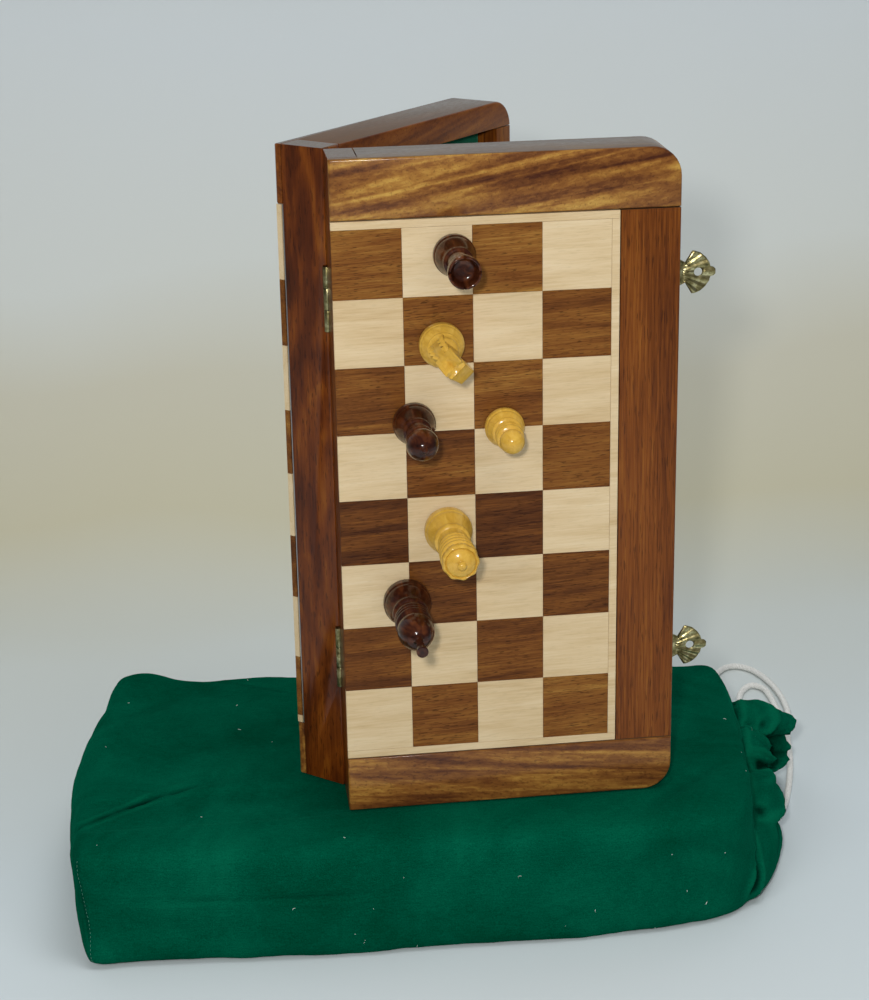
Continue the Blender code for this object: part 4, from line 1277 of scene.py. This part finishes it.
def segment_gap(points, start, end):
    """Each point's distance from a segment, and how far along it the nearest place is."""
    along = end - start
    share = np.clip((points - start) @ along / (along @ along), 0, 1)
    return np.linalg.norm(points - start - share[:, None] * along, axis=1), share


def drape(points, normals):
    """The bag's creases, puffs, gathers and slight unevenness, and how much painted shade each point gets
    from them.
    """
    shift = np.zeros_like(points)
    fold = np.zeros(len(points))
    for start, end, half_width, depth in CREASES:
        gap, share = segment_gap(points, np.array(start, float), np.array(end, float))
        taper = np.sin(math.pi * (0.10 + 0.80 * share))
        across = gap / half_width
        ridge = np.exp(-((across - 1.8) / 0.9) ** 2)
        press = depth * taper * (np.exp(-across ** 2) - 0.4 * ridge)
        shift -= normals * press[:, None]
        # fold: crease depth, which the velvet turns into painted shade
        fold += press * (0.7 if half_width < 3.0 else 0.25)
    for middle, size, push in PUFFS:
        reach = (((points - middle) / size) ** 2).sum(axis=1)
        shift += np.array(push) * np.exp(-reach)[:, None]
    drawn = np.clip((points[:, 0] - 137) / 10, 0, 1)
    angle = np.arctan2(points[:, 2] - 24, (points[:, 1] - 26) * 0.8)
    folds = np.sin(15 * angle + 0.10 * points[:, 0]) + 0.6 * np.sin(26 * angle - 0.16 * points[:, 0] + 1.2)
    shift += normals * (1.0 * drawn * folds)[:, None]
    # The gathers' troughs get painted shade and their crests a paler pile
    fold -= 0.30 * drawn * folds
    rough = np.array([1.3 * noise.noise(Vector(point) * 0.020) + 0.55 * noise.noise(Vector(point) * 0.065)
                      + 0.16 * noise.noise(Vector(point) * 0.21) for point in points])
    return points + shift + normals * (rough * (1 - 0.5 * drawn))[:, None], fold


def open_mouth(points):
    """Presses a pocket into the gathered end, with a raised and ragged lip, and gives its hollow a share of
    painted shade.
    """
    facing = np.array(MOUTH_FACES)
    along = np.array(Vector((0, 0, 1)).cross(MOUTH_FACES).normalized())
    up = np.cross(facing, along)
    gap = points - np.array(MOUTH_MIDDLE)
    side, rise, depth = gap @ along, gap @ up, gap @ facing
    reach = np.sqrt((side / MOUTH_SIZE[0]) ** 2 + (rise / MOUTH_SIZE[1]) ** 2)
    near = (depth > -9) & (depth < 14)
    inside = near & (reach < 1)
    bowl = np.sqrt(np.clip(1 - reach ** 2, 0, 1))
    push = np.where(inside, -MOUTH_DEPTH * bowl - depth * 0.6, 0)
    lip = np.where(near, np.exp(-((reach - 1.10) / 0.10) ** 2), 0) * (1.4 + 0.5 * np.sin(side * 1.9))
    return points + (push + lip)[:, None] * facing, np.where(inside, bowl, 0)


def under_box(points):
    """1 where the chess box stands on the bag at rest, shut or fully open, falling to 0 round it."""
    turn = math.cos(BAG_TURN), math.sin(BAG_TURN)
    x = (points[:, 0] * turn[0] - points[:, 1] * turn[1]) - HINGE.x / MM
    y = (points[:, 0] * turn[1] + points[:, 1] * turn[0]) - HINGE.y / MM
    nearest = np.full(len(points), 1e9)
    stands = [(half["turn"], half["side"]) for half in HALVES.values()]
    for limit in JOINTS["board_fold"]["range_deg"]:
        stands.append((OPEN_ANGLE + math.radians(limit), HALVES["rear"]["side"]))
    for turn_at, side in stands:
        cosine, sine = math.cos(turn_at), math.sin(turn_at)
        across = x * cosine + y * sine
        depth = (y * cosine - x * sine) * side
        out_x = np.maximum(np.maximum(-across, across - WIDTH / MM), 0)
        out_y = np.maximum(np.maximum(-depth, depth - THICK / MM), 0)
        nearest = np.minimum(nearest, np.hypot(out_x, out_y))
    share = np.clip(nearest / 12, 0, 1)
    return 1 - share * share * (3 - 2 * share)


def vertex_array(mesh, attribute):
    flat = np.empty(len(mesh.vertices) * 3, np.float32)
    mesh.vertices.foreach_get(attribute, flat)
    return flat.reshape(-1, 3).astype(float)


def bag_mesh(name):
    """The bag's cloth: the bulk smoothed, draped, opened, and held by the floor and the box."""
    mesh = bag_bulk()
    mesh.name = name
    work = bmesh.new()
    work.from_mesh(mesh)
    for _ in range(2):
        bmesh.ops.smooth_vert(work, verts=work.verts, factor=0.5, use_axis_x=True, use_axis_y=True,
                              use_axis_z=True)
    work.to_mesh(mesh)
    work.free()
    points, fold = drape(vertex_array(mesh, "co"), vertex_array(mesh, "normal"))
    points, inside = open_mouth(points)
    # The "fold" attribute is painted shade for the velvet: crease depth plus the mouth's hollow
    shade = mesh.attributes.new("fold", "FLOAT", "POINT")
    shade.data.foreach_set("value", (fold + 0.9 * inside).astype(np.float32))
    loose = 1 - under_box(points)
    rise = 4.0 + 3.6 * np.clip((np.abs(points[:, 0]) - 70) / 40, 0, 1)
    points[:, 2] = np.clip(points[:, 2], 0.15, BAG_HEIGHT - 0.15 + rise * loose)
    mesh.vertices.foreach_set("co", (points * MM).astype(np.float32).ravel())
    mesh.update()
    mesh.shade_smooth()
    return mesh


def add_bag(materials, draw):
    bag = finish_piece("velvet_bag", bag_mesh("velvet_bag"), [materials["velvet"]], "bag",
                       ("carry_bag",), BAG_PLACE)
    add_lint(materials, bag, draw)
    add_stitches(materials, bag)


LINT_COUNT = 40
LINT_RAISED = 0.12 * MM


def add_lint(materials, bag, draw):
    """A few pale fibres that cling to the pile."""
    work = bmesh.new()
    faces = [face for face in bag.data.polygons if face.normal.z > 0.5 or face.normal.y < -0.6]
    for _ in range(LINT_COUNT):
        face = draw.choice(faces)
        start = face.center + face.normal * LINT_RAISED
        side = face.normal.orthogonal().normalized()
        side.rotate(Matrix.Rotation(draw.uniform(0, 6.28), 3, face.normal))
        long = draw.uniform(0.2, 1.3) * MM
        bend = face.normal.cross(side) * draw.uniform(-0.35, 0.35) * long
        points = [start, start + side * long * 0.5 + bend, start + side * long]
        add_tube(work, points, draw.uniform(0.05, 0.11) * MM, 5)
    mesh = mesh_of("bag_lint", work)
    finish_piece("bag_lint", mesh, [materials["thread"]], "bag", (), BAG_PLACE)


# Rows of stitches, in the bag's own millimetres: from, to and how many
STITCHES = [
    ((-130.5, -79, 45), (-127, -84, 3), 26),
    ((143, 34, 40), (141.5, 24, 36), 7),
]
STITCH_RADIUS = 0.10 * MM


def add_stitches(materials, bag):
    """Short straight stitches that lie on the cloth."""
    work = bmesh.new()
    for start, end, count in STITCHES:
        line = [Vector(start).lerp(Vector(end), (index + share) / count)
                for index in range(count) for share in (0.2, 0.7)]
        spots = [bag.closest_point_on_mesh(point * MM) for point in line]
        laid = [place + normal * STITCH_RADIUS for _, place, normal, _ in spots]
        for first, second in zip(laid[::2], laid[1::2]):
            add_tube(work, [first, second], STITCH_RADIUS, 6)
    mesh = mesh_of("bag_stitches", work)
    finish_piece("bag_stitches", mesh, [materials["seam_thread"]], "bag", (), BAG_PLACE)


def add_tube(work, points, radius, sides):
    """A closed tube along points, its rings carried along without twist."""
    points = [Vector(point) for point in points]
    rings = []
    across = None
    for index, point in enumerate(points):
        before, after = points[max(index - 1, 0)], points[min(index + 1, len(points) - 1)]
        along = (after - before).normalized()
        across = along.orthogonal() if across is None else across - along * across.dot(along)
        across.normalize()
        other = along.cross(across)
        rings.append([work.verts.new(point + across * radius * math.cos(2 * math.pi * step / sides)
                                     + other * radius * math.sin(2 * math.pi * step / sides))
                      for step in range(sides)])
    bridge(work, rings)
    work.faces.new(list(reversed(rings[0])))
    work.faces.new(rings[-1])
    return rings


# ---------------------------------------------------------------- drawstring

# The route in the bag's own frame, in millimetres, as the model holds it
CORD_ROUTE = [
    (149, 62, 13), (149.5, 71, 9.5), (148.5, 84, 4), (146, 102, 1.8), (144.5, 126, 1.7),
    (146, 150, 1.7), (149.5, 168, 1.7), (155, 177, 1.7), (161.5, 179.5, 1.7),
    (168.5, 174.5, 1.7), (173.5, 163, 1.7), (176.5, 149, 1.7), (177.5, 133, 1.7),
    (176, 117, 1.7), (169.5, 105, 1.7), (161, 103.5, 1.7), (155.5, 112, 1.7),
    (154.8, 127, 1.7), (157, 142, 1.7), (161, 152, 1.7), (166, 156, 1.7),
    (170.6, 151.5, 1.7), (172.2, 141, 1.7), (172.3, 129, 2.2), (172.2, 119, 4.1),
    (172, 108, 5.4), (171.6, 97, 4.1), (170.6, 86, 2.2), (168.6, 72, 1.7),
    (165.6, 57, 1.7), (162.2, 43, 1.7), (158.6, 31, 1.8), (155, 22, 3.2),
]
STRANDS = 3
STRAND_LAY = 5.2 * MM
STRAND_OFFSET = 0.70 * MM
STRAND_RADIUS = 0.80 * MM


def add_cord(materials):
    """Three strands laid round the route, each a soft bundle."""
    line = [BAG_PLACE @ (point * MM) for point in smooth_line(CORD_ROUTE, 14)]
    work = bmesh.new()
    paths = [[] for _ in range(STRANDS)]
    across = None
    gone = 0.0
    for index, point in enumerate(line):
        before, after = line[max(index - 1, 0)], line[min(index + 1, len(line) - 1)]
        along = (after - before).normalized()
        across = Vector((0, 0, 1)) if across is None else across
        across = (across - along * across.dot(along)).normalized()
        other = along.cross(across)
        if index:
            gone += (point - line[index - 1]).length
        for strand in range(STRANDS):
            angle = 2 * math.pi * (gone / STRAND_LAY + strand / STRANDS)
            away = (across * math.cos(angle) + other * math.sin(angle)) * STRAND_OFFSET
            paths[strand].append(point + away)
    for path in paths:
        add_tube(work, path, STRAND_RADIUS, 10)
    mesh = mesh_of("satin_drawstring", work)
    mesh.shade_smooth()
    cord = finish_piece("satin_drawstring", mesh, [materials["cord"]], "bag", ("bag_cord",))


# ---------------------------------------------------------------- the whole scene

def main():
    draw = random.Random(11)
    add_camera()
    materials = make_materials()
    add_cord(materials)
    add_stage()
    add_lights()
    add_rails(materials)
    for name, half in HALVES.items():
        add_playing_face(name, half, materials, draw)
        add_tray(name, half, materials["flock"])
        sheet = NODES[f"{name}_steel_sheet"]
        sheet.data.materials.clear()
        sheet.data.materials.append(materials["steel"])
    add_hinges(materials)
    add_latches(materials)
    add_men(materials)
    add_bag(materials, draw)


main()
